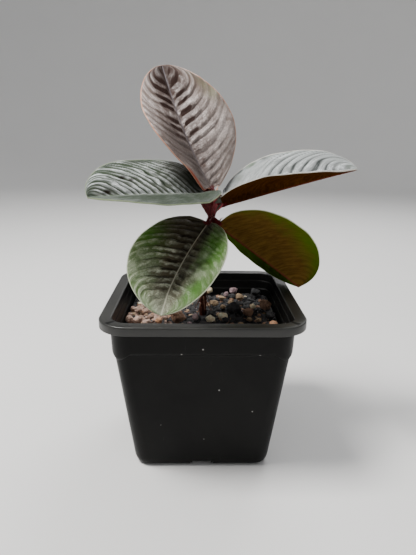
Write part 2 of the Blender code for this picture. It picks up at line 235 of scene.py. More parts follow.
# ---------------------------------------------------------------- leaves
# The same course of each leaf as in the CAD part, so each piece lies where its node does.
LEAVES = {
    "leaf_upper": dict(
        attach=(5.2, 6.1, 131.8), base=(4.2, 6.4, 141.0), stalk=1.9, heading=150.5, climb=56.5, roll=-14.5,
        length=72.5, half_width=28.4, fold=24.5, droop=-6.5, sweep=-27.0, twist=-14.0,
        bias=0.89, fullness=0.62,
    ),
    "leaf_left": dict(
        attach=(4.0, 3.0, 131.6), base=(2.6, 3.0, 138.8), heading=212.5, climb=3.0, roll=-22.0,
        length=67.5, half_width=25.2, fold=17.0, droop=3.5, sweep=3.0, twist=0.0,
        bias=0.88, fullness=0.46,
    ),
    "leaf_right": dict(
        attach=(6.8, 3.5, 128.0), joint=(5.9, 4.2, 130.8), base=(9.8, 3.7, 132.2),
        heading=-9.5, climb=16.5, roll=16.0,
        length=71.5, half_width=25.5, fold=36.0, droop=1.0, sweep=1.0, twist=21.0,
        bias=0.61, fullness=0.59,
    ),
    "leaf_front": dict(
        attach=(3.2, 1.5, 125.3), base=(2.6, 0.4, 123.4), heading=-128.5, climb=-34.5, roll=-8.5,
        length=61.5, half_width=26.1, fold=22.5, droop=5.0, sweep=20.0, twist=6.5,
        bias=0.99, fullness=0.48,
    ),
    "leaf_lower_right": dict(
        attach=(6.45, 3.3, 125.6), base=(7.9, 1.5, 123.3), heading=2.0, climb=-38.5, roll=-28.0,
        length=60.0, half_width=32.0, fold=20.5, droop=0.0, sweep=12.5, twist=1.5,
        bias=0.9, fullness=0.39,
    ),
}
STEM_POINTS = (
    (66.0, 0.2, 3.6, 2.0),
    (74.0, 0.3, 3.8, 1.95),
    (84.0, 0.8, 4.0, 1.5),
    (92.0, 1.2, 4.2, 1.35),
    (112.0, 2.8, 4.4, 1.4),
    (122.0, 3.7, 4.4, 1.6),
    (127.0, 4.4, 4.4, 2.1),
    (130.5, 5.1, 4.4, 2.9),
    (133.0, 5.6, 4.4, 2.8),
    (135.2, 5.9, 4.4, 1.7),
)
BLADE_ROWS = 230
STALK_ROWS = 16
ACROSS_STEPS = 40
STALK_HALF = 1.45
STALK_DEPTH = 2.1
BLADE_SKIN = 0.62
EDGE_SKIN = 0.4
ARCH = 0.05

# Looks of each leaf's upper face, with u = +1 and -1 at its two margins and t from base 0 to tip 1.
# veins: side veins on each half. lean: how far a vein runs towards the tip, straight and curving, as
# shares of the length. lean_plus: the same on the +u half. jag: unevenness of the veins. relief: ridge
# height in mm. smooth: how much ridges fade near the margin. calm: how much they fade on the +u half,
# the -u half and near the base. hollow: depth of the lens shaped hollows by the midrib. hollow_from:
# the t where they start. lens: their near and far end in mm, lens_plus: their far end on the +u half.
# line: darkness and width of the sunken veins. tip and hollow_tip: how much lines and hollows fade at
# the tip. silver: strength of the ridge silver, partly the leaf's own silver bloom and partly
# painted highlight on the ridge tops. silver_from: ridge height where it starts.
# brown_silver: what brown patches leave of it. bare: what green patches take. dull, gloss:
# roughness and specular level.
# spread: width scale of each half. taper: narrowing of the -u half at the base. rise: lift of the +u
# half towards the tip in mm. lobe, lobe_far: shift in mm of the +u and -u margins near the base, up to
# t = reach_plus and reach. tip_shift, nudge: shift of the tip and of the whole leaf in mm.
# red: flushed patch of margin. under: height of the veins below in mm.
# zones: (kind, along, across, reach along, reach across, strength), soft patches: brown and green ones of
# another colour, pale ones of silver that is partly painted highlight, and shade ones of painted shade.
# shine: colour of the ridge silver, partly the leaf's own silver and partly painted highlight.
STILL = (0.0, 0.0, 0.0)
PLAIN_LOOK = dict(
    jag=0.06, smooth=0.5, tip=0.65, hollow_tip=0.0, line=(1.0, 1.0), hollow_from=0.0, silver=1.0,
    silver_from=0.45, brown_silver=0.25, bare=0.35, dull=0.0, spread=(1.0, 1.0), taper=0.0, rise=0.0,
    lobe=STILL, lobe_far=STILL, reach_plus=0.18, reach=0.18, tip_shift=STILL, nudge=STILL,
    red=(0.0, 0.0, 0.01, 0.01), under=0.24,
)
LOOKS = {
    "leaf_upper": dict(
        veins=13, lean=(0.09, 0.17), lean_plus=(0.03, 0.16), lens_plus=15.0, relief=1.0,
        silver_from=0.55, seed=3, gloss=0.3,
        hollow=1.0, smooth=0.65, taper=0.42, tip_shift=(-0.7, 0.0, 1.2),
        lobe=(0.2, -0.7, -3.6), lobe_far=(-0.6, -0.7, -4.0), red=(0.05, 0.97, 0.16, 0.13),
        calm=(0.15, 0.0, 0.55), hollow_from=0.36, line=(0.65, 1.0), lens=(0.9, 9.5),
        groove=(0.05, 0.021, 0.014), inner=(0.105, 0.074, 0.064), rib=(0.17, 0.15, 0.165),
        outer=(0.165, 0.117, 0.096), shine=(0.88, 0.78, 0.74), edge=(0.72, 0.36, 0.24),
        green=(0.2, 0.2, 0.09),
        zones=(
            ("brown", 0.985, 0.0, 0.075, 0.7, 1.0), ("brown", 0.86, 0.0, 0.14, 0.36, 0.75),
            ("green", 0.74, -0.9, 0.2, 0.3, 0.55), ("brown", 0.2, -0.1, 0.06, 0.12, 0.6),
            ("pale", 0.42, -0.68, 0.3, 0.42, 0.7), ("brown", 0.34, 0.85, 0.25, 0.28, 0.45),
            ("brown", 0.62, 0.75, 0.12, 0.25, 0.3), ("brown", 0.64, -0.6, 0.1, 0.2, 0.3),
            ("shade", 0.92, 0.0, 0.17, 0.95, 0.85), ("shade", 0.28, 0.5, 0.32, 0.6, 0.95),
            ("shade", 0.06, 0.0, 0.09, 0.6, 0.75),
        ),
    ),
    "leaf_left": dict(
        veins=17, lean=(0.34, 0.1), relief=0.74, seed=8, hollow=0.25, dull=0.75, jag=0.12, gloss=0.06,
        bare=0.86, reach=0.45, tip_shift=(1.6, 0.4, 0.0), brown=(0.011, 0.007, 0.003),
        brown_silver=0.28, silver_from=0.5,
        calm=(0.92, 0.0, 0.0), line=(1.1, 1.2), lens=(1.0, 7.0),
        groove=(0.012, 0.02, 0.01), inner=(0.085, 0.095, 0.075), rib=(0.12, 0.16, 0.11),
        outer=(0.052, 0.072, 0.044), shine=(0.92, 0.96, 0.97), edge=(0.27, 0.32, 0.19),
        green=(0.034, 0.046, 0.03), lobe=(3.4, 0.2, 3.0), lobe_far=(0.6, 1.2, 3.2), rise=1.5,
        zones=(
            ("green", 0.98, 0.0, 0.05, 0.9, 0.9), ("green", 0.45, -0.98, 0.17, 0.2, 1.0),
            ("brown", 0.08, -0.6, 0.23, 0.6, 1.0), ("green", 0.45, 0.62, 0.8, 0.6, 1.0),
            ("shade", 0.1, -0.5, 0.24, 0.65, 0.85),
            ("brown", 0.83, -0.12, 0.05, 0.1, 0.8), ("brown", 0.66, -0.45, 0.04, 0.06, 0.8),
            ("brown", 0.6, -0.36, 0.03, 0.05, 0.8), ("green", 0.72, -0.95, 0.1, 0.15, 0.7),
        ),
    ),
    "leaf_right": dict(
        veins=12, lean=(0.06, 0.34), relief=0.5, silver=0.9, seed=15, jag=0.1, gloss=0.22,
        reach=0.45, nudge=(0.0, 0.0, 1.5), tip_shift=(-1.4, 0.0, -0.6),
        lobe=(0.0, 0.0, -3.3), reach_plus=0.85, lobe_far=(0.0, 0.0, -2.6), hollow=0.1, dull=1.0, under=0.08,
        calm=(0.0, 0.1, 0.9), line=(1.3, 2.1), lens=(1.0, 6.0),
        groove=(0.012, 0.018, 0.016), inner=(0.25, 0.26, 0.26), rib=(0.3, 0.32, 0.3),
        outer=(0.24, 0.258, 0.252), shine=(0.76, 0.79, 0.81), edge=(0.66, 0.62, 0.54),
        tip=0.95, hollow_tip=0.95, green=(0.12, 0.16, 0.11),
        zones=(
            ("green", 0.12, 0.75, 0.1, 0.3, 0.6), ("brown", 0.06, 0.3, 0.06, 0.3, 0.5),
            ("green", 0.96, 0.3, 0.05, 0.5, 0.45), ("green", 0.6, 0.97, 0.45, 0.1, 0.5),
            ("shade", 0.05, 0.8, 0.16, 0.35, 0.9), ("brown", 0.17, 0.93, 0.04, 0.08, 0.9),
            ("green", 0.26, 0.92, 0.06, 0.1, 0.9), ("brown", 0.36, 0.95, 0.04, 0.06, 0.7),
        ),
    ),
    "leaf_front": dict(
        veins=14, lean=(0.17, 0.09), relief=1.1, seed=21, hollow=0.55, dull=0.4, tip=0.88, hollow_tip=0.88,
        gloss=0.1,
        bare=0.3, tip_shift=(1.1, 0.0, 0.8), nudge=(0.0, 0.0, 0.8),
        lobe_far=(0.0, 0.0, 0.4), reach=0.5, silver_from=0.55,
        jag=0.09, calm=(0.5, 0.0, 0.0), lens=(1.0, 10.0),
        groove=(0.012, 0.008, 0.004), inner=(0.06, 0.05, 0.028), rib=(0.46, 0.46, 0.36),
        outer=(0.046, 0.1, 0.012), shine=(0.56, 0.6, 0.46), edge=(0.58, 0.62, 0.46),
        green=(0.05, 0.15, 0.012),
        zones=(
            ("brown", 0.06, -0.2, 0.26, 0.95, 1.0), ("brown", 0.42, -0.08, 0.3, 0.18, 0.62),
            ("green", 0.34, -0.85, 0.18, 0.28, 0.9), ("green", 0.35, 0.62, 0.28, 0.4, 0.9),
            ("pale", 0.97, -0.25, 0.2, 0.75, 0.72), ("pale", 0.7, -0.75, 0.18, 0.38, 0.65),
            ("pale", 0.62, 0.55, 0.08, 0.2, 0.6), ("green", 0.78, 0.75, 0.16, 0.3, 0.8),
            ("pale", 0.42, 0.48, 0.06, 0.14, 0.6), ("shade", 0.52, 0.45, 0.05, 0.12, 0.6),
            ("pale", 0.8, 0.42, 0.06, 0.16, 0.55), ("shade", 0.7, 0.5, 0.05, 0.12, 0.5),
            ("brown", 0.55, 0.18, 0.26, 0.14, 0.6), ("shade", 0.14, -0.55, 0.28, 0.75, 0.95),
            ("shade", 0.3, 0.25, 0.25, 0.25, 0.6),
        ),
    ),
    "leaf_lower_right": dict(
        veins=13, lean=(0.22, 0.08), relief=0.8, silver=0.15, gloss=0.06, bare=0.97,
        spread=(1.1, 1.03), seed=33, hollow=0.4, dull=0.8,
        calm=(0.5, 0.0, 0.0), lens=(1.0, 9.0),
        groove=(0.018, 0.014, 0.004), inner=(0.08, 0.075, 0.04), rib=(0.32, 0.34, 0.2),
        outer=(0.08, 0.165, 0.014), shine=(0.36, 0.39, 0.29), edge=(0.46, 0.5, 0.24),
        # this bright green is partly the leaf's own green and partly painted light shining through the thin
        # blade
        green=(0.29, 0.41, 0.01),
        zones=(
            ("green", 0.35, 0.8, 0.45, 0.6, 1.0), ("brown", 0.08, -0.2, 0.22, 0.8, 0.9),
            ("brown", 0.45, 0.0, 0.3, 0.16, 0.6), ("pale", 0.93, -0.3, 0.2, 0.7, 0.6),
            ("green", 0.35, -0.85, 0.25, 0.3, 0.8),
        ),
    ),
}
STALK_RED = (0.09, 0.011, 0.013)


def unit(heading, climb):
    """Directions for arrays of headings and climbs in degrees."""
    heading = np.radians(heading)
    climb = np.radians(climb)
    level = np.cos(climb)
    return np.stack([level * np.cos(heading), level * np.sin(heading), np.sin(climb)], -1)


def wobble(values, seed, octaves=4):
    """Smooth seeded 1-D noise about zero, from summed sines."""
    dice = random.Random(seed)
    total = np.zeros_like(values)
    for octave in range(octaves):
        rate = 2.0 ** octave
        total += math.sqrt(0.5) ** octave * np.sin(2 * np.pi * rate * values + dice.uniform(0, 6.28))
    return total


def stem_axis(height):
    """Middle of the stem at a height, in mm."""
    points = np.array(STEM_POINTS)
    return np.array([np.interp(height, points[:, 0], points[:, i]) for i in (1, 2)] + [height])


def leaf_course(leaf):
    """Centre, heading, climb, roll, half width, share and stalk factor of every ring."""
    base = np.array(leaf["base"])
    attach = np.array(leaf.get("joint", leaf["attach"]))
    inward = stem_axis(attach[2]) - attach
    inward[2] = 0.0
    attach = attach + inward * 0.55
    start = unit(leaf["heading"], leaf["climb"])
    bend = base - start * np.linalg.norm(base - attach) * 0.35
    share = (np.arange(STALK_ROWS) / STALK_ROWS)[:, None]
    stalk = attach * (1 - share) ** 2 + bend * 2 * share * (1 - share) + base * share ** 2
    slope = (bend - attach) * (1 - share) + (base - bend) * share
    slope /= np.linalg.norm(slope, axis=1, keepdims=True)
    share = share[:, 0]
    stalk_climb = np.degrees(np.arcsin(np.clip(slope[:, 2], -1, 1)))
    even = np.arange(BLADE_ROWS + 1) / BLADE_ROWS
    t = 0.62 * even + 0.38 * (0.5 - 0.5 * np.cos(np.pi * even))
    before = np.concatenate([[0.0], t[:-1]])
    middle = 0.5 * (t + before)
    steps = (leaf["length"] * (t - before))[:, None]
    path = unit(leaf["heading"] + leaf["sweep"] * middle, leaf["climb"] - leaf["droop"] * middle)
    centre = base + np.cumsum(path * steps, axis=0)
    swell = np.clip(np.sin(np.pi * t ** leaf["bias"]), 0.0, None)
    half = leaf["half_width"] * swell ** leaf["fullness"]
    half = np.maximum(half, np.where(t < 0.5, leaf.get("stalk", STALK_HALF), 0.3))
    zeros = np.zeros(STALK_ROWS)
    return dict(
        centre=np.vstack([stalk, centre]),
        heading=np.concatenate([zeros + leaf["heading"], leaf["heading"] + leaf["sweep"] * t]),
        climb=np.concatenate([stalk_climb, leaf["climb"] - leaf["droop"] * t]),
        roll=np.concatenate([leaf["roll"] * share, leaf["roll"] + leaf["twist"] * (t - 0.5)]),
        half=np.concatenate([zeros + leaf.get("stalk", STALK_HALF), half]),
        t=np.concatenate([zeros, t]),
        stalk=np.concatenate([zeros + 1.0, np.clip(1.0 - t / 0.04, 0.0, 1.0)]),
    )


def ease(value, low, high):
    """Smooth step from 0 at low to 1 at high."""
    share = np.clip((value - low) / (high - low), 0.0, 1.0)
    return share * share * (3.0 - 2.0 * share)


def vein_phase(t, u, look):
    """Position between side veins: whole numbers lie on a vein. The two halves are out of step."""
    away = np.abs(u)
    seed = look["seed"]
    side = np.where(u > 0, 0.0, 0.43)
    first, last = (np.where(u > 0, a, b) for a, b in zip(look.get("lean_plus", look["lean"]), look["lean"]))
    lean = first * away + last * away ** 3.0
    phase = look["veins"] * (t - lean) + side
    phase = phase + 0.11 * np.sin(1.7 * phase + seed) + 0.08 * np.sin(2.9 * phase + 2.0 * seed + side * 9.0)
    phase = phase + 0.13 * away * np.sin(4.2 * away + 0.83 * phase + seed)
    uneven = crinkle(phase + 20.0 * side, 10.0 * away, seed + 5, 1.3, 1.9)
    return phase + look["jag"] * uneven * ease(away, 0.04, 0.25)


def crinkle(phase, x, seed, along, across, waves=26):
    """Smooth uneven surface from many slanting ripples, about -1 to 1."""
    dice = random.Random(seed)
    total = 0.0 * x
    for _ in range(waves):
        total += np.sin(dice.gauss(0, across) * phase + dice.gauss(0, along) * x + dice.uniform(0, 6.28))
    return total / math.sqrt(waves)


def surface(t, u, half, look):
    """Height of the upper face in mm, and what the material needs to know of each point."""
    away = np.abs(u)
    x = away * half
    phase = vein_phase(t, u, look)
    f = phase - np.floor(phase)
    off = np.minimum(f, 1.0 - f)
    index = np.floor(phase) + np.where(u > 0, 0.0, 37.0)
    lively = 0.82 + 0.3 * np.abs(np.sin(index * 12.9898))
    calm = np.where(u > 0, look["calm"][0], look["calm"][1])
    calm = np.clip(calm + look["calm"][2] * (1.0 - ease(t, 0.22, 0.5)), 0, 1)
    pillow = np.sin(np.pi * f ** 0.88) ** 0.8
    between = np.exp(-((f - 0.52) / 0.07) ** 2) * ease(away, 0.3, 0.62)
    shift = np.where(u > 0, 0.0, 50.0)
    coarse = crinkle(phase + shift, x, look["seed"] + 1, 0.85, 3.4)
    small = crinkle(phase + shift, x, look["seed"] + 2, 1.9, 8.5)
    fade = ease(x, 0.5, 2.2) * np.clip(half / 9.0, 0, 1)
    fade = fade * (1.0 - look["smooth"] * ease(away, 0.32, 0.95))
    fade = fade * np.clip((1.0 - away) / 0.08, 0, 1) ** 0.7
    raised = pillow * lively - 0.18 * between
    fade = fade * (1.0 - 0.7 * ease(t, 0.87, 0.98))
    height = look["relief"] * fade * (1.0 - 0.8 * calm) * (raised - 0.5)
    height += fade * (0.15 * coarse + 0.075 * small) * (1.0 - 0.35 * calm)
    near, far = look["lens"]
    far = np.where(u > 0, look.get("lens_plus", far), far)
    lens = ease(x, near, near + 1.5) * (1.0 - ease(x, 0.62 * far, far))
    chosen = 0.8 + 0.2 * np.sin(index * 7.7 + 1.0)
    pit = np.exp(-((f - 0.23) / (0.08 + 0.15 * lens)) ** 2) * lens * chosen
    pit = pit * look["hollow"] * ease(t, look["hollow_from"] - 0.02, look["hollow_from"] + 0.12)
    pit = pit * (1.0 - look["hollow_tip"] * ease(t, 0.74, 0.86))
    height -= 0.5 * pit * fade
    groove_mid = np.exp(-(x / 1.5) ** 2)
    ridge_mid = np.exp(-(x / 0.4) ** 2)
    fading = np.clip(1.15 - t, 0.3, 1.0) * np.clip(half / 6.0, 0, 1)
    height += fading * (-0.8 * groove_mid + 0.7 * ridge_mid)
    dark, wide = look["line"]
    line = np.exp(-(off / (wide * (0.05 + 0.045 * (1.0 - away)))) ** 2)
    line = line * (1.0 - 0.45 * ease(away, 0.5, 1.0)) * (0.75 + 0.25 * chosen) + 0.3 * between
    line = np.clip(line * dark * (1.0 - calm) * ease(x, 0.2, 1.2), 0, 1)
    line = line * (1.0 - look["tip"] * ease(t, 0.76, 0.92))
    # silver on the ridge tops: partly the leaf's own bloom, partly painted highlight
    start = look["silver_from"]
    silver = ease(pillow + 0.2 * coarse + 0.14 * small, start, start + 0.57) * (1.0 - pit)
    silver = silver * (1.0 - calm) + 0.5 * calm
    rib = ridge_mid * np.clip(half / 4.0, 0, 1)
    return height, line, np.clip(silver, 0, 1), np.clip(pit, 0, 1), rib, phase


def zone_weights(t, u, look):
    """Soft patches over the blade: brown, green, pale silver that is partly painted highlight, and painted
    shade.
    """
    weights = {kind: 0.0 * t for kind in ("brown", "green", "pale", "shade")}
    for kind, along, across, reach_t, reach_u, strength in look["zones"]:
        spread = ((t - along) / reach_t) ** 2 + ((u - across) / reach_u) ** 2
        weights[kind] = np.maximum(weights[kind], strength * np.exp(-spread))
    return [weights[kind] for kind in ("brown", "green", "pale", "shade")]


def build_leaf(name):
    leaf = LEAVES[name]
    look = {**PLAIN_LOOK, **LOOKS[name]}
    course = leaf_course(leaf)
    even = np.linspace(-1, 1, 2 * ACROSS_STEPS + 1)
    t, half, stalk = (course[key][:, None] + 0 * even for key in ("t", "half", "stalk"))
    u = -even * (0.76 + 0.24 * np.abs(even)) + 0 * t
    heading = np.radians(course["heading"])[:, None]
    left = np.concatenate([-np.sin(heading), np.cos(heading), 0 * heading], axis=1)
    forward = unit(course["heading"], course["climb"])
    up = np.cross(forward, left)
    roll = np.radians(course["roll"])[:, None]
    side = left * np.cos(roll) + up * np.sin(roll)
    top = up * np.cos(roll) - left * np.sin(roll)
    fold = math.radians(leaf["fold"])
    away = np.abs(u)
    x = away * half
    height, line, silver, pit, rib, phase = surface(t, u, half, look)
    lift = half * (away * math.sin(fold) + ARCH * np.sin(np.pi * away))
    lift = lift + (1 - stalk) * height
    lift += stalk * 0.3 * (away ** 2 - 0.5)
    wave = 0.2 * wobble(t * 1.3 + 0.21 * np.sign(u), look["seed"] + 9, 3)
    wave = wave * away ** 3 * np.clip(half / 15, 0, 1)
    wave -= 0.4 * ease(away, 0.93, 1.0) * np.clip(half / 10, 0, 1)
    lift += (1 - stalk) * wave
    lift += look["rise"] * ease(t, 0.45, 0.85) * ease(u, 0.0, 1.0) * np.clip(half / 12, 0, 1)
    near_scale, far_scale = look["spread"]
    narrow = 1.0 - look["taper"] * (1.0 - ease(t, 0.0, 0.15)) * (u < 0)
    lateral = half * u * math.cos(fold) * np.where(u > 0, near_scale, far_scale) * narrow
    upper = course["centre"][:, None, :] + side[:, None, :] * lateral[..., None]
    upper = upper + top[:, None, :] * lift[..., None]
    lobe = (1 - ease(t, 0.02, look["reach_plus"])) * ease(u * half, 1.5, 10.0) * (1 - stalk)
    lobe_far = (1 - ease(t, 0.05, look["reach"])) * ease(-u * half, 1.5, 12.0) * (1 - stalk)
    for weight, key in ((lobe, "lobe"), (lobe_far, "lobe_far"), (ease(t, 0.7, 1.0), "tip_shift")):
        upper = upper + weight[..., None] * np.array(look[key])
    skin = EDGE_SKIN + (BLADE_SKIN * (1 - 0.25 * t) - EDGE_SKIN) * np.clip(3.0 * (1 - away), 0, 1)
    rib_half = 1.25 * (1 - 0.72 * t)
    rib_depth = 1.15 * (1 - 0.8 * t) * np.clip(half / 4.0, 0, 1)
    skin = skin + rib_depth * np.sqrt(np.clip(1 - (x / rib_half) ** 2, 0, 1))
    off = np.abs(phase - np.round(phase))
    vein = np.exp(-(off / 0.07) ** 2) * np.clip((0.93 - away) / 0.5, 0, 1) * np.clip(half / 9, 0, 1)
    skin = skin + look["under"] * vein
    stalk_skin = EDGE_SKIN + (STALK_DEPTH - EDGE_SKIN) * np.sqrt(np.clip(1 - away ** 2, 0, 1))
    depth = stalk * stalk_skin + (1 - stalk) * skin
    lower = upper - top[:, None, :] * depth[..., None]
    rows, count = u.shape
    verts = np.concatenate([upper, lower[:, ::-1]], axis=1).reshape(-1, 3)
    caps = end_caps(rows, count)
    faces = loft_faces(rows, 2 * count) + caps
    kinds = ([0] * (count - 1) + [2] + [1] * (count - 1) + [2]) * (rows - 1) + [2] * len(caps)
    low, high = box_mm(name)
    drift = 0.5 * (low + high) - 0.5 * (verts.min(0) + verts.max(0))
    verts = verts + np.clip(drift, -0.6, 0.6) + np.array(look["nudge"])
    materials = [upper_skin(name, look), under_skin(name, look), edge_skin(name, look)]
    piece = add_piece(f"{name}_blade", verts, faces, materials, [name], face_materials=kinds)

    def keep(label, *values):
        """Store three values of the grid for both faces of the blade."""
        store(piece, label, np.stack([np.concatenate([v, v[:, ::-1]], axis=1) for v in values], -1))

    keep("spot", u, t, np.clip((1 - away) * half / 3.0, 0, 1))
    keep("mark", line, silver, pit)
    keep("trait", stalk * (1 - ease(x, 1.6, 3.6)), vein, rib)
    keep("vein", phase, x / 10.0, u)
    brown, green, pale, shade = zone_weights(t, u, look)
    keep("zone", brown, green, pale)
    along, across, reach_t, reach_u = look["red"]
    flush = np.exp(-((t - along) / reach_t) ** 2 - ((u - across) / reach_u) ** 2)
    # flush also carries the painted shade of the shade zones, as its second value
    keep("flush", flush, shade, 0.0 * shade)


def upper_skin(name, look):
    g = Graph(name + "_upper_skin")
    spot = g.attribute("spot")
    mark = g.attribute("mark")
    trait = g.attribute("trait")
    zone = g.attribute("zone")
    away = g.math("ABSOLUTE", spot[0])
    streaks = g.noise(1.0, 5.0, 0.6, g.stretch(g.vector("vein"), (11.0, 3.0, 3.0)))
    broad = g.noise(1.0, 4.0, 0.6, g.stretch(g.vector("vein"), (2.2, 2.4, 1.0)))
    blotch = g.noise(150.0, 4.0, 0.6, warp=0.6)
    fine = g.noise(900.0, 3.0, 0.6)
    cracks = g.cells(1.0, g.stretch(g.vector("vein"), (5.5, 7.5, 3.0)), "DISTANCE_TO_EDGE")
    uneven = g.math("SUBTRACT", blotch, 0.5)

    def ragged(patch, full, strength):
        """Break up the border of a soft patch."""
        return g.plus(patch, g.times(uneven, g.remap(patch, 0.0, full, 0.0, strength)))

    # one colour by the midrib, another outside, broken up by blotches
    spread = g.plus(away, g.times(uneven, 0.8))
    face = g.mix(g.remap(spread, 0.2, 0.75), look["inner"], look["outer"])
    brown = look.get("brown", tinted(look["groove"], 1.25))
    face = g.mix(g.remap(ragged(zone[0], 0.5, 1.0), 0.15, 0.8), face, brown)
    face = g.mix(g.remap(ragged(zone[1], 0.5, 1.3), 0.15, 0.85), face, look["green"])
    # silver on the ridges, in streaks that follow the veins: partly the leaf's own silver bloom, partly
    # painted highlight on the ridge tops
    silver = g.times(mark[1], g.remap(streaks, 0.32, 0.62, 0.3, 1.0))
    silver = g.times(silver, g.remap(broad, 0.34, 0.6, 0.35, 1.0))
    full = look["silver"]
    silver = g.times(silver, g.remap(zone[0], 0.1, 0.8, full, look["brown_silver"] * full))
    bare = g.times(g.remap(zone[1], 0.1, 0.9), g.remap(blotch, 0.42, 0.6, 0.97, look["bare"]))
    silver = g.times(silver, g.math("SUBTRACT", 1.0, bare))
    # pale zones raise the silver: partly the leaf's own pale silver, partly painted highlight
    silver = g.math("MAXIMUM", silver, g.times(zone[2], g.remap(blotch, 0.35, 0.62, 0.3, 0.9)))
    silver = g.times(silver, g.remap(cracks, 0.0, 0.16, 0.55, 1.0))
    face = g.mix(silver, face, look["shine"])
    # painted shade: the shade zones, kept as the second value of flush, darken the face
    flush = g.attribute("flush")
    shade = g.remap(ragged(flush[1], 0.4, 0.8), 0.05, 0.95, 0.0, 0.82)
    face = g.mix(shade, face, tinted(look["inner"], 0.55))
    # sunken veins, and painted shade in the lens shaped hollows beside the midrib
    thin = g.times(mark[0], g.remap(streaks, 0.25, 0.65, 1.0, 0.45))
    face = g.mix(g.remap(thin, 0.08, 0.75, 0.0, 0.92), face, look["groove"])
    hollow = g.plus(mark[2], g.times(g.math("SUBTRACT", streaks, 0.5), 0.35))
    hollow = g.times(g.remap(hollow, 0.18, 0.55), g.remap(mark[2], 0.02, 0.12))
    face = g.mix(hollow, face, tinted(look["groove"], 0.8))
    # pale rib line, thin margin, red stalk
    face = g.mix(g.remap(trait[2], 0.3, 0.7, 0.0, 0.85), face, look["rib"])
    face = g.mix(g.remap(spot[2], 0.1, 0.22, 0.85, 0.0), face, look["edge"])
    face = g.mix(g.remap(flush[0], 0.45, 0.8), face, (0.36, 0.075, 0.04))
    face = g.mix(g.remap(trait[0], 0.02, 0.6), face, STALK_RED)
    grain = g.bump(fine, 0.3, 0.0001)
    grain = g.bump(streaks, 0.45, 0.00022, grain)
    grain = g.bump(g.remap(cracks, 0.0, 0.22), 0.5, 0.00016, grain)
    dull = look["dull"]
    roughness = g.remap(streaks, 0.3, 0.7, 0.3 + 0.25 * dull, 0.44 + 0.22 * dull)
    roughness = g.plus(roughness, g.times(hollow, 0.12))
    return g.finish(face, roughness, grain, Specular_IOR_Level=look["gloss"])


# Undersides: dark and light streaks, colour towards the margin and specular level.
UNDER = {
    "leaf_upper": ((0.13, 0.05, 0.03), (0.22, 0.1, 0.06), (0.2, 0.12, 0.06), 0.1),
    "leaf_left": ((0.11, 0.05, 0.022), (0.2, 0.105, 0.045), (0.15, 0.16, 0.04), 0.1),
    "leaf_right": ((0.026, 0.0065, 0.0002), (0.056, 0.018, 0.0004), (0.05, 0.019, 0.0007), 0.0),
    "leaf_front": ((0.1, 0.055, 0.02), (0.17, 0.11, 0.035), (0.13, 0.19, 0.03), 0.1),
    "leaf_lower_right": ((0.078, 0.04, 0.009), (0.135, 0.077, 0.016), (0.058, 0.118, 0.004), 0.0),
}


def under_skin(name, look):
    deep, light, rim, gloss = UNDER[name]
    g = Graph(name + "_under_skin")
    spot = g.attribute("spot")
    trait = g.attribute("trait")
    vein = g.attribute("vein")
    away = g.math("ABSOLUTE", spot[0])
    streaks = g.noise(1.0, 4.0, 0.6, g.stretch(g.vector("vein"), (5.0, 1.6, 1.0)))
    blotch = g.noise(120.0, 3.0, 0.55, warp=0.4)
    fine = g.noise(1100.0, 3.0, 0.6)
    face = g.mix(g.remap(streaks, 0.3, 0.7), deep, light)
    outer = g.plus(away, g.times(g.math("SUBTRACT", blotch, 0.5), 0.5))
    outer = g.plus(outer, g.times(spot[1], 0.25))
    # on this leaf the +u half of the underside turns to the bright margin green: partly its own green, partly
    # painted light shining through the blade
    if name == "leaf_lower_right":
        outer = g.plus(outer, g.remap(spot[0], 0.02, 0.22, 0.0, 0.75))
    face = g.mix(g.remap(outer, 0.6, 1.3), face, rim)
    face = g.mix(g.times(trait[1], 0.3), face, tinted(light, 1.3))
    face = g.mix(g.remap(vein[1], 0.03, 0.13, 0.85, 0.0), face, (0.13, 0.03, 0.02))
    face = g.mix(g.remap(spot[2], 0.05, 0.16, 0.7, 0.0), face, look["edge"])
    face = g.mix(g.remap(trait[0], 0.02, 0.6), face, STALK_RED)
    grain = g.bump(fine, 0.35, 0.00012)
    grain = g.bump(streaks, 0.35, 0.0002, grain)
    return g.finish(face, g.remap(fine, 0.3, 0.7, 0.54, 0.68), grain, Specular_IOR_Level=gloss)


def edge_skin(name, look):
    g = Graph(name + "_edge_skin")
    trait = g.attribute("trait")
    tone = g.noise(300.0, 3.0)
    face = g.mix(g.remap(tone, 0.3, 0.7), look["edge"], tinted(look["edge"], 0.72))
    face = g.mix(g.remap(trait[0], 0.05, 0.8), face, STALK_RED)
    return g.finish(face, g.remap(tone, 0.3, 0.7, 0.4, 0.52))


# ---------------------------------------------------------------- stem and new leaf
def stem_skin():
    g = Graph("stem_skin")
    low, _ = box_mm("stem")
    x, _, height = g.split(g.coords)
    fibres = g.noise(1.0, 6.0, 0.65, g.stretch(g.coords, (1400.0, 1400.0, 170.0)))
    warts = g.cells(900.0)
    fresh = g.mix(g.remap(fibres, 0.3, 0.7), (0.03, 0.004, 0.005), (0.105, 0.013, 0.015))
    woody = g.mix(g.remap(fibres, 0.35, 0.65), (0.022, 0.006, 0.004), (0.085, 0.024, 0.014))
    face = g.mix(g.remap(height, (low[2] + 14) * MM, (low[2] + 34) * MM), woody, fresh)
    pink = g.times(g.remap(height, 0.1265, 0.1315), g.remap(fibres, 0.35, 0.6, 0.25, 1.0))
    pink = g.times(pink, g.remap(x, 0.0035, 0.0062, 0.06, 1.0))
    face = g.mix(pink, face, (0.3, 0.06, 0.07))
    face = g.mix(g.remap(warts, 0.0, 0.25, 0.5, 0.0), face, (0.3, 0.13, 0.08))
    normal = g.bump(fibres, 0.6, 0.0003)
    normal = g.bump(warts, 0.5, 0.0002, normal)
    return g.finish(face, g.remap(fibres, 0.3, 0.7, 0.5, 0.7), normal, Specular_IOR_Level=0.15)


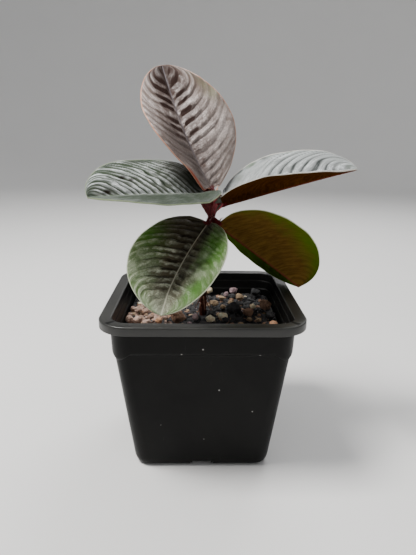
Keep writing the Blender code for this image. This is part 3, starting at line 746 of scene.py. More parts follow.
def spike(foot, direction, length, thick, bend, sides=5, steps=5):
    """Closed tapering strand: a hair or a dry strip of sheath."""
    direction = np.array(direction) / np.linalg.norm(direction)
    side = np.cross(direction, (0.31, 0.17, 0.93))
    side /= np.linalg.norm(side)
    other = np.cross(direction, side)
    verts = []
    for step in range(steps):
        share = step / steps
        centre = np.array(foot) + direction * length * share + np.array(bend) * share * share
        radius = thick * (1.0 - 0.75 * share)
        for c, s in circle(sides):
            verts.append(centre + radius * (side * c + other * s))
    verts.append(np.array(foot) + direction * length + np.array(bend))
    faces = loft_faces(steps, sides) + fan((steps - 1) * sides, sides, steps * sides)
    faces.append(tuple(range(sides))[::-1])
    return verts, faces


STEM_SCARS = (80.0, 86.5, 93.0, 101.0, 110.0, 119.0, 124.0)
STEM_TOP = 135.4
STEM_FLATNESS = 0.88
HAIR_COUNT = 130
BARK, HUSK, HAIR, FOLD = range(4)
# Foot, direction, length, thickness and sideways bend of each strand of dry sheath
STRANDS = (
    ((1.9, 2.9, 79.5), (0.35, -0.2, -1.0), 9.0, 0.42, (2.2, -0.8, 0.0)),
    ((-0.9, 2.4, 78.0), (-0.2, -0.3, -1.0), 6.5, 0.45, (-0.9, -0.7, 0.0)),
    ((2.2, 3.8, 84.5), (0.2, -0.1, -1.0), 13.0, 0.34, (1.6, -0.6, -0.4)),
    ((0.6, 2.0, 82.0), (0.1, -0.2, -1.0), 8.0, 0.4, (0.2, -1.3, 0.0)),
    ((-1.2, 4.6, 80.5), (-0.3, 0.1, -1.0), 7.5, 0.4, (-1.4, 0.3, 0.0)),
    ((1.4, 5.9, 81.0), (0.2, 0.4, -1.0), 8.0, 0.4, (0.9, 1.2, 0.0)),
)
# The same of each pale tuft at the feet of the two low leaves
TUFTS = (
    ((8.9, 0.9, 124.6), (-0.25, -0.1, 1.0), 2.0, 0.36, (1.5, 0.1, 0.3)),
    ((9.0, 0.6, 124.9), (0.5, -0.2, 1.0), 2.2, 0.3, (0.9, 0.0, -0.2)),
    ((2.1, 2.3, 123.3), (-0.3, -0.5, 1.0), 1.9, 0.26, (0.2, -0.3, 0.5)),
    ((1.9, 2.1, 122.6), (-0.7, -0.5, 0.6), 1.6, 0.24, (-0.3, -0.2, 0.5)),
    ((3.4, 1.9, 124.2), (-0.1, -0.8, 0.8), 1.5, 0.3, (0.5, -0.2, 0.2)),
    ((4.0, 2.0, 124.5), (0.3, -0.8, 0.7), 1.4, 0.28, (0.3, -0.1, 0.3)),
)


def build_stem():
    rows, count = 260, 44
    points = np.array(STEM_POINTS)
    z = np.linspace(points[0, 0], points[-1, 0], rows)
    kernel = np.hanning(21)
    kernel /= kernel.sum()
    courses = [np.interp(z, points[:, 0], points[:, i]) for i in (1, 2, 3)]
    mid_x, mid_y, size = [np.convolve(np.pad(c, 10, mode="edge"), kernel, mode="valid") for c in courses]
    verts = []
    for row, height in enumerate(z):
        swell = 0.0
        for scar in STEM_SCARS:
            swell += 0.3 * math.exp(-((height - scar) / 0.8) ** 2)
            swell -= 0.14 * math.exp(-((height - scar - 1.6) / 0.8) ** 2)
        woody = max(0.0, min(1.0, (98.0 - height) / 20.0))
        dome = math.sqrt(max(0.02, min(1.0, (STEM_TOP - height) / 2.2)))
        for c, s in circle(count):
            bark = noise.noise(Vector((c * 2.2, s * 2.2, height * 0.22)))
            fine = noise.noise(Vector((c * 7.0, s * 7.0, height * 0.5)))
            radius = size[row] + swell + (0.16 + 0.2 * woody) * bark + (0.07 + 0.14 * woody) * fine
            x = mid_x[row] + dome * radius * c
            verts.append((x, mid_y[row] + dome * STEM_FLATNESS * radius * s, height))
    verts += [(mid_x[0], mid_y[0], z[0]), (mid_x[-1], mid_y[-1], z[-1] + 0.1)]
    faces = loft_faces(rows, count)
    faces += fan(0, count, rows * count) + fan((rows - 1) * count, count, rows * count + 1)
    pile = Pile()
    pile.add(verts, faces, BARK)
    for strand in STRANDS:
        pile.add(*spike(*strand, 8, 12), HUSK)
    pile.add(*crown_arm(*LEFT_ARM), BARK)
    pile.add(*crown_arm(*UPPER_ARM), BARK)
    pile.add(*crown_cup())
    for tuft in TUFTS:
        pile.add(*spike(*tuft, 7, 8), HAIR)
    dice = random.Random(41)
    for _ in range(HAIR_COUNT):
        height = dice.choice((dice.uniform(119.0, 127.0), dice.uniform(124.0, 134.0)))
        angle = dice.uniform(0.0, 2 * math.pi)
        row = int((height - z[0]) / (z[-1] - z[0]) * (rows - 1))
        out = np.array((math.cos(angle), math.sin(angle), dice.uniform(0.1, 0.9)))
        foot = np.array((mid_x[row], mid_y[row], height)) + out * (1, STEM_FLATNESS, 0) * size[row] * 0.93
        bend = [dice.uniform(-0.3, 0.3) for _ in range(3)]
        pile.add(*spike(foot, out, dice.uniform(0.5, 1.3), 0.085, bend, 4, 3), HAIR)
    pile.finish("stem_bark", [stem_skin(), husk_skin(), hair_skin(), fold_skin()], "stem")


# Middle points and radii of the thick feet of the left and the upper leaf's stalk
LEFT_ARM = (
    ((4.6, 4.2, 125.6), (3.6, 3.7, 129.0), (1.6, 2.6, 132.6), (-0.8, 1.2, 136.0), (-3.6, -0.8, 138.3)),
    (1.3, 2.3, 2.5, 1.9, 0.8),
)
UPPER_ARM = (
    ((5.2, 4.8, 131.0), (4.6, 5.4, 134.0), (3.6, 6.2, 137.0), (2.4, 6.9, 139.6), (1.5, 7.3, 141.2)),
    (1.2, 2.0, 2.2, 1.8, 0.7),
)


def crown_arm(path, size):
    """Thick foot of a stalk, from the top of the stem to the base of a blade."""
    count = 28
    steps = 34
    at = np.linspace(0, len(path) - 1, steps)
    centre = np.stack([np.interp(at, range(len(path)), [p[i] for p in path]) for i in range(3)], -1)
    kernel = np.array([1, 2, 3, 2, 1]) / 9.0
    for i in range(3):
        centre[:, i] = np.convolve(np.pad(centre[:, i], 2, mode="edge"), kernel, mode="valid")
    radius = np.interp(at, range(len(size)), size)
    verts = []
    for step in range(steps):
        ahead = centre[min(step + 1, steps - 1)] - centre[max(step - 1, 0)]
        ahead /= np.linalg.norm(ahead)
        side = np.cross(ahead, (0.0, -1.0, 0.0))
        side /= np.linalg.norm(side)
        depth = np.cross(side, ahead)
        for c, s in circle(count):
            flat = radius[step] * (1.0 + 0.07 * noise.noise(Vector((c * 2, s * 2, step * 0.25))))
            verts.append(centre[step] + side * flat * c + depth * 0.75 * flat * s)
    faces = loft_faces(steps, count)
    faces.append(tuple(range(count))[::-1])
    faces.append(tuple((steps - 1) * count + i for i in range(count)))
    return verts, faces


def crown_cup():
    """Channelled foot of the right leaf: green inside, with thick pink edges."""
    rows, half_count = 34, 9
    u = np.linspace(-1, 1, 2 * half_count + 1)
    count = len(u)
    foot = np.array((5.9, 2.3, 129.6))
    along = np.array((4.1, -0.2, 8.2))
    across = np.array((0.9, 0.05, -0.42))
    back = np.array((0.0, 1.0, 0.0))
    verts = []
    for row in range(rows):
        share = row / (rows - 1)
        half = 0.45 + 2.05 * math.sin(math.pi * min(1.0, 0.06 + 0.86 * share)) ** 0.8
        centre = foot + along * share + np.array((0.0, 0.9, 0.0)) * math.sin(math.pi * share)
        front = []
        rear = []
        for v in u:
            rim = math.exp(-((abs(v) - 0.86) / 0.16) ** 2)
            point = centre + across * half * v - back * (0.75 * half * v * v + 0.42 * rim)
            front.append(point)
            rear.append(point + back * (0.5 + 0.45 * rim) * (1.0 if abs(v) < 0.99 else 0.45))
        verts += front + rear[::-1]
    caps = end_caps(rows, count)
    kinds = [FOLD if abs(u[i] + u[i + 1]) < 1.25 else BARK for i in range(count - 1)] + [BARK] * (count + 1)
    return verts, loft_faces(rows, 2 * count) + caps, kinds * (rows - 1) + [BARK] * len(caps)


def fold_skin():
    g = Graph("folded_foot")
    tone = g.noise(500.0, 4.0, 0.6)
    face = g.mix(g.remap(tone, 0.35, 0.65), (0.03, 0.038, 0.026), (0.115, 0.13, 0.1))
    return g.finish(face, g.remap(tone, 0.3, 0.7, 0.4, 0.55), g.bump(tone, 0.5, 0.0003))


def husk_skin():
    g = Graph("dry_husk")
    fibres = g.noise(1.0, 5.0, 0.6, g.stretch(g.coords, (2200.0, 2200.0, 240.0)))
    face = g.mix(g.remap(fibres, 0.3, 0.7), (0.075, 0.026, 0.016), (0.24, 0.115, 0.065))
    return g.finish(face, g.remap(fibres, 0.3, 0.7, 0.7, 0.85), g.bump(fibres, 0.7, 0.0003))


def hair_skin():
    g = Graph("stem_hair")
    tone = g.noise(700.0, 2.0)
    face = g.mix(g.remap(tone, 0.35, 0.65), (0.3, 0.15, 0.13), (0.62, 0.48, 0.45))
    return g.finish(face, g.remap(tone, 0.3, 0.7, 0.5, 0.7))


def young_skin():
    g = Graph("young_leaf_skin")
    low, _ = box_mm("young_leaf")
    height = g.split(g.coords)[2]
    fibres = g.noise(1.0, 5.0, 0.6, g.stretch(g.coords, (1800.0, 1800.0, 260.0)))
    red = g.mix(g.remap(fibres, 0.3, 0.7), (0.33, 0.045, 0.04), (0.56, 0.13, 0.09))
    pale = g.mix(g.remap(fibres, 0.3, 0.7), (0.62, 0.3, 0.2), (0.78, 0.52, 0.4))
    face = g.mix(g.remap(height, (low[2] + 3) * MM, (low[2] + 8.5) * MM), red, pale)
    return g.finish(face, 0.45, g.bump(fibres, 0.6, 0.0003), Sheen_Weight=0.3, Sheen_Roughness=0.4)


def build_young_leaf():
    """Newest leaf, still rolled: two edges wrapped round each other along a leaning spike."""
    rows, count = 70, 44
    low, high = box_mm("young_leaf")
    foot = np.array((5.8, 3.9, low[2]))
    length = high[2] - low[2]
    verts = []
    for row in range(rows):
        share = row / (rows - 1)
        body = math.sin(math.pi * (0.12 + 0.88 * share)) ** 0.7 if share < 1 else 0.0
        body = max(body, 0.03)
        lean = 1.2 * share * share
        for i in range(count):
            angle = 2 * math.pi * i / count
            seam = 0.2 * math.exp(-((angle - 3.9 - 0.5 * share) / 0.22) ** 2)
            seam -= 0.16 * math.exp(-((angle - 4.35 - 0.5 * share) / 0.2) ** 2)
            ribs = 0.035 * math.sin(9 * angle + 2 * share)
            radius = 1.9 * body * (1.0 - 0.4 * share) * (1.0 + seam + ribs)
            verts.append((
                foot[0] + 0.5 + lean + 0.9 * radius * math.cos(angle),
                foot[1] + 0.74 * radius * math.sin(angle),
                foot[2] + length * share,
            ))
    verts += [tuple(foot), (foot[0] + 1.7, foot[1], high[2])]
    faces = loft_faces(rows, count)
    faces += fan(0, count, rows * count) + fan((rows - 1) * count, count, rows * count + 1)
    add_piece("young_leaf_roll", verts, faces, [young_skin()], ["young_leaf"])


# ---------------------------------------------------------------- pot
_, POT_HIGH = box_mm("pot")
POT_HEIGHT = POT_HIGH[2]
RIM_HALF = POT_HIGH[0]
RIM_RADIUS = 15.4
RIM_FACE = 6.2
LIP_DROP = 4.4
SKIN = 1.2
COLLAR_HALF = 44.9
COLLAR_DEPTH = 16.2
COLLAR_CORNER_EXTRA = 3.4
BODY_HALF_TOP = 43.1
BODY_HALF_BASE = 35.8
BODY_RADIUS = 8.0
FLOOR = 1.8
# Inner ledges below the rim: depth of the lower end, how far it is set in, and its slope
LEDGES = ((4.6, 0.0, 0.08), (9.5, 0.7, 0.1), (COLLAR_DEPTH, 1.7, 0.02))
FOOT_SLOT = (12.0, 20.0, 7.0)
FOOT_SLOT_INSET = 8.0
FOOT_SLOT_ROUND = 1.2
DRAIN_RADIUS = 3.5
DRAIN_PLACE = 21.0
CORNER_STEPS = 18
SIDE_STEPS = 10


def pot_skin(name, dark, light, gloss):
    g = Graph(name)
    grain = g.noise(2600.0, 3.0, 0.6)
    cloud = g.noise(28.0, 4.0, 0.6, warp=0.5)
    wipe = g.noise(1.0, 6.0, 0.7, g.stretch(g.coords, (900.0, 900.0, 60.0)))
    dust = g.cells(170.0)
    pick = g.noise(95.0, 2.0)
    face = g.mix(g.remap(cloud, 0.3, 0.7), dark, light)
    speck = g.times(g.remap(dust, 0.05, 0.085, 1.0, 0.0), g.remap(pick, 0.54, 0.58))
    face = g.mix(g.times(speck, 0.85), face, (0.42, 0.41, 0.39))
    scuff = g.times(g.remap(wipe, 0.62, 0.74), g.remap(cloud, 0.45, 0.65))
    face = g.mix(g.times(scuff, 0.35), face, (0.06, 0.06, 0.058))
    roughness = g.plus(g.remap(cloud, 0.3, 0.7, 0.33, 0.45), g.times(scuff, 0.15))
    normal = g.bump(grain, 0.22, 0.00008)
    normal = g.bump(cloud, 0.1, 0.0015, normal)
    return g.finish(face, roughness, normal, Specular_IOR_Level=gloss)


def rounded_square(half, radius, height, corner_drop=0.0):
    """Ring of points: round corners and evenly divided straight sides."""
    radius = max(radius, 0.05)
    points = []
    for corner in range(4):
        middle = math.radians(90.0 * corner + 45.0)
        reach = (half - radius) * math.sqrt(2.0)
        for step in range(CORNER_STEPS + 1):
            share = step / CORNER_STEPS
            angle = math.radians(90.0 * (corner + share))
            x = reach * math.cos(middle) + radius * math.cos(angle)
            y = reach * math.sin(middle) + radius * math.sin(angle)
            points.append((x, y, height - corner_drop * math.sin(math.pi * share)))
        turn = math.radians(90.0 * (corner + 1))
        ahead = np.array((-math.sin(turn), math.cos(turn)))
        start = np.array(points[-1][:2])
        run = 2.0 * (half - radius)
        for step in range(1, SIDE_STEPS):
            x, y = start + ahead * run * step / SIDE_STEPS
            points.append((x, y, height))
    return points


def body_half(height):
    return BODY_HALF_BASE + (BODY_HALF_TOP - BODY_HALF_BASE) * height / (POT_HEIGHT - COLLAR_DEPTH)


def inner_half(height):
    depth = POT_HEIGHT - height
    above = 0.0
    for low_end, inset, slope in LEDGES:
        if depth < low_end:
            return RIM_HALF - RIM_FACE - inset - slope * (depth - above)
        above = low_end
    return body_half(height) - SKIN


def inner_radius(height):
    depth = min(POT_HEIGHT - height, COLLAR_DEPTH + COLLAR_CORNER_EXTRA)
    share = depth / (COLLAR_DEPTH + COLLAR_CORNER_EXTRA)
    return (RIM_RADIUS - RIM_FACE) * (1.0 - share) + (BODY_RADIUS - SKIN) * share


def fillet(half_a, z_a, half_b, z_b, half_c, z_c, size, steps=4):
    """Profile points that round the corner at b between a and c."""
    b = np.array((half_b, z_b))
    points = []
    ends = []
    for other in ((half_a, z_a), (half_c, z_c)):
        away = np.array(other) - b
        length = np.linalg.norm(away)
        ends.append(b + away / length * min(size, 0.45 * length))
    for step in range(steps + 1):
        s = step / steps
        points.append(tuple(ends[0] * (1 - s) ** 2 + b * 2 * s * (1 - s) + ends[1] * s * s))
    return points


def build_pot():
    fold = POT_HEIGHT - COLLAR_DEPTH
    fold_half = body_half(fold - 0.6)
    collar_base = COLLAR_HALF - 0.03 * COLLAR_DEPTH
    collar_radius = RIM_RADIUS - (RIM_HALF - COLLAR_HALF)
    lip = POT_HEIGHT - LIP_DROP
    under_rim = POT_HEIGHT - SKIN
    # half width, height, corner radius, corner drop, rounding size
    profile = [
        (BODY_HALF_BASE - 3.6, 0.0, BODY_RADIUS - 3.0, 0.0, 0.3),
        (BODY_HALF_BASE - 1.3, 0.8, BODY_RADIUS - 1.2, 0.0, 1.6),
        (BODY_HALF_BASE - 0.1, 3.6, BODY_RADIUS, 0.0, 2.0),
        (fold_half, fold - 0.6, BODY_RADIUS, COLLAR_CORNER_EXTRA, 0.4),
        (0.5 * (fold_half + collar_base), fold - 0.1, collar_radius - 1.1, COLLAR_CORNER_EXTRA, 0.3),
        (collar_base, fold + 0.7, collar_radius, COLLAR_CORNER_EXTRA, 0.8),
        (COLLAR_HALF, lip, collar_radius, 0.0, 0.2),
        (COLLAR_HALF + 0.1, under_rim, collar_radius + 0.1, 0.0, 0.3),
        (RIM_HALF - SKIN, under_rim, RIM_RADIUS - SKIN, 0.0, 0.3),
        (RIM_HALF - SKIN, lip, RIM_RADIUS - SKIN, 0.0, 0.25),
        (RIM_HALF, lip, RIM_RADIUS, 0.0, 0.3),
        (RIM_HALF, POT_HEIGHT, RIM_RADIUS, 0.0, 0.85),
        (RIM_HALF - RIM_FACE, POT_HEIGHT, RIM_RADIUS - RIM_FACE, 0.0, 0.7),
    ]
    for depth, _, _ in LEDGES:
        for offset in (0.08, -0.25):
            z = POT_HEIGHT - depth + offset
            profile.append((inner_half(z), z, inner_radius(z), 0.0, 0.25))
    for z in (fold - COLLAR_CORNER_EXTRA - 2.0, FLOOR + 2.0):
        profile.append((body_half(z) - SKIN, z, BODY_RADIUS - SKIN, 0.0, 0.5))
    profile.append((BODY_HALF_BASE - SKIN - 1.6, FLOOR, BODY_RADIUS - SKIN - 1.0, 0.0, 0.3))
    rings = []
    for i, (half, z, radius, drop, size) in enumerate(profile):
        if i in (0, len(profile) - 1):
            rings.append(rounded_square(half, radius, z, drop))
            continue
        before = profile[i - 1]
        after = profile[i + 1]
        for h, height in fillet(before[0], before[1], half, z, after[0], after[1], size):
            rings.append(rounded_square(h, radius + (h - half), height, drop))
    count = len(rings[0])
    verts = [p for ring in rings for p in ring]
    faces = loft_faces(len(rings), count)
    for start, hub_z in ((0, 0.0), ((len(rings) - 1) * count, FLOOR)):
        outer = start
        for share in (0.66, 0.33):
            inner = len(verts)
            verts += [(verts[start + i][0] * share, verts[start + i][1] * share, hub_z) for i in range(count)]
            faces += [(a, b, inner + b - outer, inner + a - outer) for a, b, _ in fan(outer, count, 0)]
            outer = inner
        faces += fan(outer, count, len(verts))
        verts.append((0.0, 0.0, hub_z))
    # the rim gets a lighter and glossier copy of the same plastic: its lighter colour is painted light
    # falling on the rim
    skins = [
        pot_skin("pot_plastic", (0.003, 0.003, 0.0029), (0.006, 0.006, 0.0056), 0.1),
        pot_skin("rim_plastic", (0.008, 0.008, 0.007), (0.017, 0.017, 0.014), 0.5),
    ]
    pot = add_piece("pot_shell", verts, faces, skins, ["pot"])
    cutters = []
    for side in range(4):
        turn = Matrix.Rotation(math.radians(90.0 * side), 4, "Z")
        cutters += [cut_out(pot, foot_slot(turn)), cut_out(pot, drain_hole(turn))]
    apply_modifiers(pot)
    for cutter in cutters:
        bpy.data.objects.remove(cutter)
    # the outside and top of the rim take the lighter copy, which is painted light
    for polygon in pot.data.polygons:
        x, y, z = polygon.center
        outside = max(abs(x), abs(y)) > (RIM_HALF - RIM_FACE) * MM
        polygon.material_index = int(outside and z > (POT_HEIGHT - LIP_DROP - 0.2) * MM)
    sharpen(pot, 40.0)


def foot_slot(turn):
    """Shape of the slot in the middle of one side's foot."""
    bm = bmesh.new()
    bmesh.ops.create_cube(bm, size=1.0)
    bmesh.ops.scale(bm, vec=FOOT_SLOT, verts=bm.verts)
    bmesh.ops.translate(bm, vec=(0.0, -(BODY_HALF_BASE - FOOT_SLOT_INSET), -0.5), verts=bm.verts)
    edges = [e for e in bm.edges if all(v.co.z > 0 for v in e.verts)]
    edges = [e for e in edges if abs(e.verts[0].co.x - e.verts[1].co.x) < 0.01]
    bmesh.ops.bevel(bm, geom=edges, offset=FOOT_SLOT_ROUND, segments=4, affect="EDGES")
    bmesh.ops.transform(bm, matrix=turn, verts=bm.verts)
    return bm


def drain_hole(turn):
    bm = bmesh.new()
    radius = DRAIN_RADIUS
    bmesh.ops.create_cone(bm, cap_ends=True, segments=40, radius1=radius, radius2=radius, depth=8.0)
    place = turn @ Matrix.Translation((DRAIN_PLACE, DRAIN_PLACE, 0.0))
    bmesh.ops.transform(bm, matrix=place, verts=bm.verts)
    return bm


def cut_out(piece, bm):
    """Subtract a shape given in mm, once the piece's modifiers are applied."""
    bmesh.ops.scale(bm, vec=(MM, MM, MM), verts=bm.verts)
    mesh = bpy.data.meshes.new("cutter")
    bm.to_mesh(mesh)
    bm.free()
    cutter = new_object("cutter", mesh)
    modifier = piece.modifiers.new("cut", "BOOLEAN")
    modifier.operation = "DIFFERENCE"
    modifier.solver = "EXACT"
    modifier.object = cutter
    return cutter


def apply_modifiers(piece):
    graph = bpy.context.evaluated_depsgraph_get()
    mesh = bpy.data.meshes.new_from_object(piece.evaluated_get(graph))
    piece.modifiers.clear()
    old = piece.data
    piece.data = mesh
    bpy.data.meshes.remove(old)


def sharpen(piece, degrees):
    """Smooth shading with edges over this angle kept sharp."""
    bm = bmesh.new()
    bm.from_mesh(piece.data)
    for edge in bm.edges:
        edge.smooth = len(edge.link_faces) == 2 and edge.calc_face_angle(0.0) < math.radians(degrees)
    bm.to_mesh(piece.data)
    bm.free()


# ---------------------------------------------------------------- grit
GRIT = {
    "pink": ((0.25, 0.158, 0.118), (0.44, 0.31, 0.25), (0.14, 0.072, 0.052)),
    "orange": ((0.44, 0.215, 0.11), (0.62, 0.36, 0.22), (0.26, 0.11, 0.05)),
    "brown": ((0.203, 0.111, 0.0688), (0.365, 0.215, 0.138), (0.0945, 0.0468, 0.0275)),
    "mauve": ((0.23, 0.155, 0.165), (0.36, 0.26, 0.265), (0.12, 0.075, 0.08)),
    "cream": ((0.83, 0.632, 0.399), (0.85, 0.85, 0.651), (0.488, 0.31, 0.147)),
    "tan": ((0.25, 0.165, 0.095), (0.42, 0.3, 0.19), (0.12, 0.07, 0.035)),
    "dark": ((0.011, 0.011, 0.012), (0.032, 0.031, 0.032), (0.004, 0.004, 0.004)),
}


def grit_skin(kind):
    main, light, deep = GRIT[kind]
    g = Graph("grit_" + kind)
    cloud = g.noise(420.0, 5.0, 0.65, warp=0.4)
    pores = g.cells(1900.0)
    fine = g.noise(3800.0, 4.0, 0.7)
    face = g.mix(g.remap(cloud, 0.3, 0.7), main, light)
    face = g.mix(g.remap(cloud, 0.4, 0.24, 0.0, 0.8), face, deep)
    face = g.mix(g.remap(pores, 0.1, 0.34, 0.75, 0.0), face, deep)
    face = g.mix(g.remap(fine, 0.55, 0.75, 0.0, 0.5), face, light)
    normal = g.bump(pores, 0.9, 0.00035)
    normal = g.bump(fine, 0.8, 0.0002, normal)
    rough = (0.62, 0.88) if kind == "dark" else (0.8, 0.97)
    return g.finish(face, g.remap(fine, 0.3, 0.7, *rough), normal)


SPHERES = {}


def ball(level):
    """Points and triangles of a unit icosphere."""
    if level not in SPHERES:
        bm = bmesh.new()
        bmesh.ops.create_icosphere(bm, subdivisions=level, radius=1.0)
        bm.verts.ensure_lookup_table()
        points = np.array([v.co[:] for v in bm.verts])
        faces = np.array([[v.index for v in f.verts] for f in bm.faces])
        bm.free()
        SPHERES[level] = (points, faces)
    return SPHERES[level]


def lump(level, seed, edgy, rough):
    """A broken grain of about unit radius: a ball cut by random planes, then roughened."""
    points, faces = ball(level)
    dice = random.Random(seed)
    out = points.copy()
    for _ in range(9):
        normal = np.array([dice.gauss(0, 1) for _ in range(3)])
        normal /= np.linalg.norm(normal)
        cut = dice.uniform(0.62, 0.92)
        over = np.clip(out @ normal - cut, 0, None)
        out -= over[:, None] * normal * (0.55 + edgy)
    shift = Vector((seed * 0.37 % 50.0, seed * 0.73 % 50.0, seed * 1.1 % 50.0))
    scale = np.empty(len(out))
    for i, p in enumerate(out):
        v = Vector(p)
        scale[i] = 1.0 + 0.16 * noise.noise(v * 1.4 + shift)
        scale[i] += rough * noise.noise(v * 4.2 + shift) + 0.6 * rough * noise.noise(v * 9.0 + shift)
    return out * scale[:, None], faces


# How edgy and how rough the grains are
GRAIN_BREAK = {"brown": (0.45, 0.2), "dark": (0.35, 0.13)}
PLAIN_BREAK = (0.25, 0.07)


def build_grains(skins):
    """Each CAD grain's visible form fills that node's box."""
    names = sorted(n for n in NODES if n.startswith("grain_"))
    slots = {part["node"]: part["material_slot"] for part in frame["record"]["subparts"]}
    for number, node in enumerate(names):
        low, high = box_mm(node)
        kind = slots[node].replace("grain_", "")
        points, faces = lump(4, 500 + number, *GRAIN_BREAK.get(kind, PLAIN_BREAK))
        points = (points - points.min(0)) / (points.max(0) - points.min(0))
        verts = low + points * (high - low)
        piece = add_piece(node + "_grit", verts, faces, [skins[kind]], [node])
        sharpen(piece, 50.0)


SOIL_GRIT = ("dark", "brown", "tan", "pink", "mauve", "cream", "orange")
# Shares of the granules' colours, as limits of one random draw: in the pink patch and elsewhere
PINK_MIX = ((0.48, "pink"), (0.6, "tan"), (0.72, "brown"), (1.0, "dark"))
DARK_MIX = ((0.8, "dark"), (0.92, "brown"), (0.96, "tan"), (0.985, "mauve"), (1.0, "cream"))
GRANULE_SIZES = (1.1, 1.3, 1.5, 1.7, 2.0, 2.4, 2.9)
GRANULE_PITCH = 2.15
GRANULE_JITTER = 0.9
SOIL_CORNER = 9.0
STEM_FOOT = (0.3, 3.7)
STEM_ROOM = 2.2


def soil_core(wall, level, bottom):
    """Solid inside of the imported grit, with a softly uneven top."""
    rings = [rounded_square(BODY_HALF_BASE - SKIN - 2.4, BODY_RADIUS - SKIN - 1.6, bottom)]
    for z in (FLOOR + 2.4, POT_HEIGHT - COLLAR_DEPTH - COLLAR_CORNER_EXTRA - 2.0):
        rings.append(rounded_square(body_half(z) - SKIN - 0.4, BODY_RADIUS - SKIN - 0.4, z))
    corner = inner_radius(level) - 0.5
    rings.append(rounded_square(wall, corner, level - 1.8))
    for share in np.linspace(0.99, 0.04, 26):
        shaped = []
        for x, y, _ in rounded_square(wall * share, corner * share, 0.0):
            bump = noise.noise(Vector((x * 0.09, y * 0.09, 3.0)))
            bump += 0.5 * noise.noise(Vector((x * 0.5, y * 0.5, 1.0)))
            shaped.append((x, y, level - 0.9 + 0.9 * bump))
        rings.append(shaped)
    count = len(rings[0])
    verts = [p for ring in rings for p in ring]
    faces = loft_faces(len(rings), count)
    for start in (0, (len(rings) - 1) * count):
        faces += fan(start, count, len(verts))
        verts.append((0.0, 0.0, np.mean([verts[start + i][2] for i in range(count)])))
    return verts, faces


def build_soil(skins):
    """Packed grit: a solid core in the pot, its top covered by hundreds of broken granules."""
    low, high = box_mm("soil")
    level = high[2] - 1.2
    wall = inner_half(level) - 0.5
    pile = Pile()
    pile.add(*soil_core(wall, level, low[2]), 0)
    taken = []
    for node in NODES:
        if node.startswith("grain_"):
            a, b = box_mm(node)
            taken.append((0.5 * (a[0] + b[0]), 0.5 * (a[1] + b[1]), 0.5 * max(b[0] - a[0], b[1] - a[1])))
    dice = random.Random(77)
    spots = []
    across = range(int(2 * wall / GRANULE_PITCH) + 1)
    for ix in across:
        for iy in across:
            x = -wall + ix * GRANULE_PITCH + dice.uniform(-GRANULE_JITTER, GRANULE_JITTER)
            y = -wall + iy * GRANULE_PITCH + dice.uniform(-GRANULE_JITTER, GRANULE_JITTER)
            spots.append((x, y))
    for k, (x, y) in enumerate(spots):
        size = dice.choice(GRANULE_SIZES)
        if max(abs(x), abs(y)) > wall - 0.75 * size:
            continue
        straight = wall - SOIL_CORNER
        if math.hypot(max(0.0, abs(x) - straight), max(0.0, abs(y) - straight)) > SOIL_CORNER - size:
            continue
        if math.hypot(x - STEM_FOOT[0], y - STEM_FOOT[1]) < STEM_ROOM + size * 0.7:
            continue
        near = min(math.hypot(x - a, y - b) - c for a, b, c in taken)
        if near < 0.35 * size:
            size = min(size, 1.3)
        pink_patch = x < -17.0 and -22.0 < y < 16.0
        roll = dice.random()
        kind = next(kind for limit, kind in (PINK_MIX if pink_patch else DARK_MIX) if roll < limit)
        if pink_patch:
            size = min(size, 2.2)
        elif kind != "dark":
            size = min(size, 1.7)
        points, tris = lump(3 if size > 1.8 else 2, 1000 + k, 0.45, 0.1)
        flat = (dice.uniform(0.85, 1.15), dice.uniform(0.75, 1.0), dice.uniform(0.6, 0.9))
        spin = dice.uniform(0.0, 6.28)
        points = points * np.array(flat) * size
        turned = points.copy()
        turned[:, 0] = points[:, 0] * math.cos(spin) - points[:, 1] * math.sin(spin)
        turned[:, 1] = points[:, 0] * math.sin(spin) + points[:, 1] * math.cos(spin)
        ground = level - 0.9 + 0.9 * noise.noise(Vector((x * 0.09, y * 0.09, 3.0)))
        sink = dice.uniform(-0.35, 0.3) * size
        top = high[2] + 1.4 if near > 0.5 * size else high[2] + 0.2
        centre = np.array((x, y, min(ground + sink, top - 0.7 * size)))
        pile.add(turned + centre, tris.tolist(), SOIL_GRIT.index(kind))
    sharpen(pile.finish("soil_grit", [skins[kind] for kind in SOIL_GRIT], "soil"), 38.0)


# ---------------------------------------------------------------- setting
def floor_skin():
    g = Graph("studio_paper")
    tone = g.noise(6.0, 3.0)
    face = g.mix(tone, (0.74, 0.735, 0.725), (0.77, 0.765, 0.755))
    return g.finish(face, 0.85)


def build_stage():
    """Pale floor that curves up into a plain wall all round."""
    floor_reach, curve, height, around = 1.5, 0.8, 2.3, 96
    profile = [(0.25, 0.0), (0.8, 0.0), (floor_reach, 0.0)]
    for step in range(1, 25):
        angle = math.radians(90.0 * step / 24)
        profile.append((floor_reach + curve * math.sin(angle), curve - curve * math.cos(angle)))
    profile.append((floor_reach + curve, height))
    verts = []
    for radius, z in profile:
        for i in range(around):
            angle = 2 * math.pi * i / around
            verts.append((radius * math.cos(angle), radius * math.sin(angle), z))
    faces = [tuple(range(around))] + [face[::-1] for face in loft_faces(len(profile), around)]
    mesh = bpy.data.meshes.new("studio_floor")
    mesh.from_pydata(verts, [], faces)
    mesh.polygons.foreach_set("use_smooth", [True] * len(mesh.polygons))
    mesh.materials.append(floor_skin())
    floor = new_object("studio_floor", mesh)
    floor.location.z = -0.0003


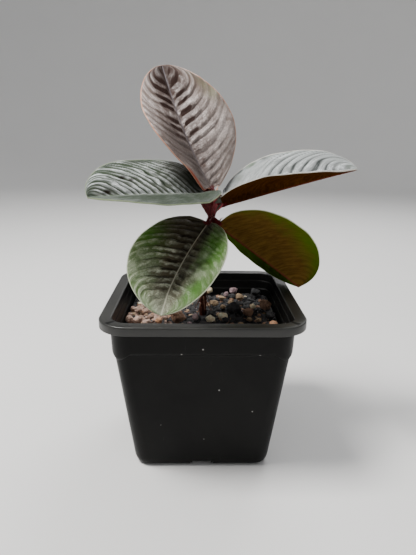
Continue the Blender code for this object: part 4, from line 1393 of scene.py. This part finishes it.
def area_light(name, place, target, size, power, colour=(1.0, 1.0, 1.0)):
    light = bpy.data.lights.new(name, "AREA")
    light.shape = "RECTANGLE"
    light.size, light.size_y = size
    light.energy = power
    light.color = colour
    lamp = new_object(name, light)
    lamp.location = place
    aim = Vector(target) - Vector(place)
    lamp.rotation_euler = aim.to_track_quat("-Z", "Y").to_euler()


def build_lights():
    world = bpy.data.worlds.new("studio")
    world.use_nodes = True
    back = world.node_tree.nodes["Background"]
    back.inputs["Color"].default_value = (0.94, 0.96, 1.0, 1.0)
    back.inputs["Strength"].default_value = 0.46
    bpy.context.scene.world = world
    area_light("key", (-0.42, -0.1, 0.9), (0.0, 0.0, 0.13), (0.3, 0.3), 15.0, (1.0, 0.985, 0.96))
    area_light("back", (0.28, 0.7, 0.8), (0.0, 0.0, 0.13), (0.5, 0.35), 5.5)
    area_light("fill", (0.7, -0.8, 0.4), (0.0, 0.0, 0.1), (0.6, 0.6), 0.9, (0.95, 0.97, 1.0))


# The photograph's viewing angle: close, 16 degrees down. Angles in radians, place in metres.
PITCH, YAW, TILT = 0.28, -0.0227, 0.0134
CAMERA_PLACE = (-0.00291, -0.25459, 0.16672)
LENS = 31.5
SENSOR = 36.0


def build_camera():
    turn = Matrix.Rotation(YAW, 3, "Z")
    ahead = turn @ Vector((0.0, math.cos(PITCH), -math.sin(PITCH)))
    above = turn @ Vector((0.0, math.sin(PITCH), math.cos(PITCH)))
    right = turn @ Vector((1.0, 0.0, 0.0))
    side = math.cos(TILT) * right + math.sin(TILT) * above
    head = -math.sin(TILT) * right + math.cos(TILT) * above
    data = bpy.data.cameras.new("camera")
    data.sensor_width = SENSOR
    data.lens = LENS
    data.clip_start = 0.01
    camera = new_object("camera", data)
    place = Matrix((side, head, -ahead)).transposed().to_4x4()
    place.translation = Vector(CAMERA_PLACE)
    camera.matrix_world = place
    bpy.context.scene.camera = camera


build_camera()
build_stage()
build_lights()
build_pot()
GRIT_SKINS = {kind: grit_skin(kind) for kind in GRIT}
build_soil(GRIT_SKINS)
build_grains(GRIT_SKINS)
build_stem()
build_young_leaf()
for leaf_name in LEAVES:
    build_leaf(leaf_name)
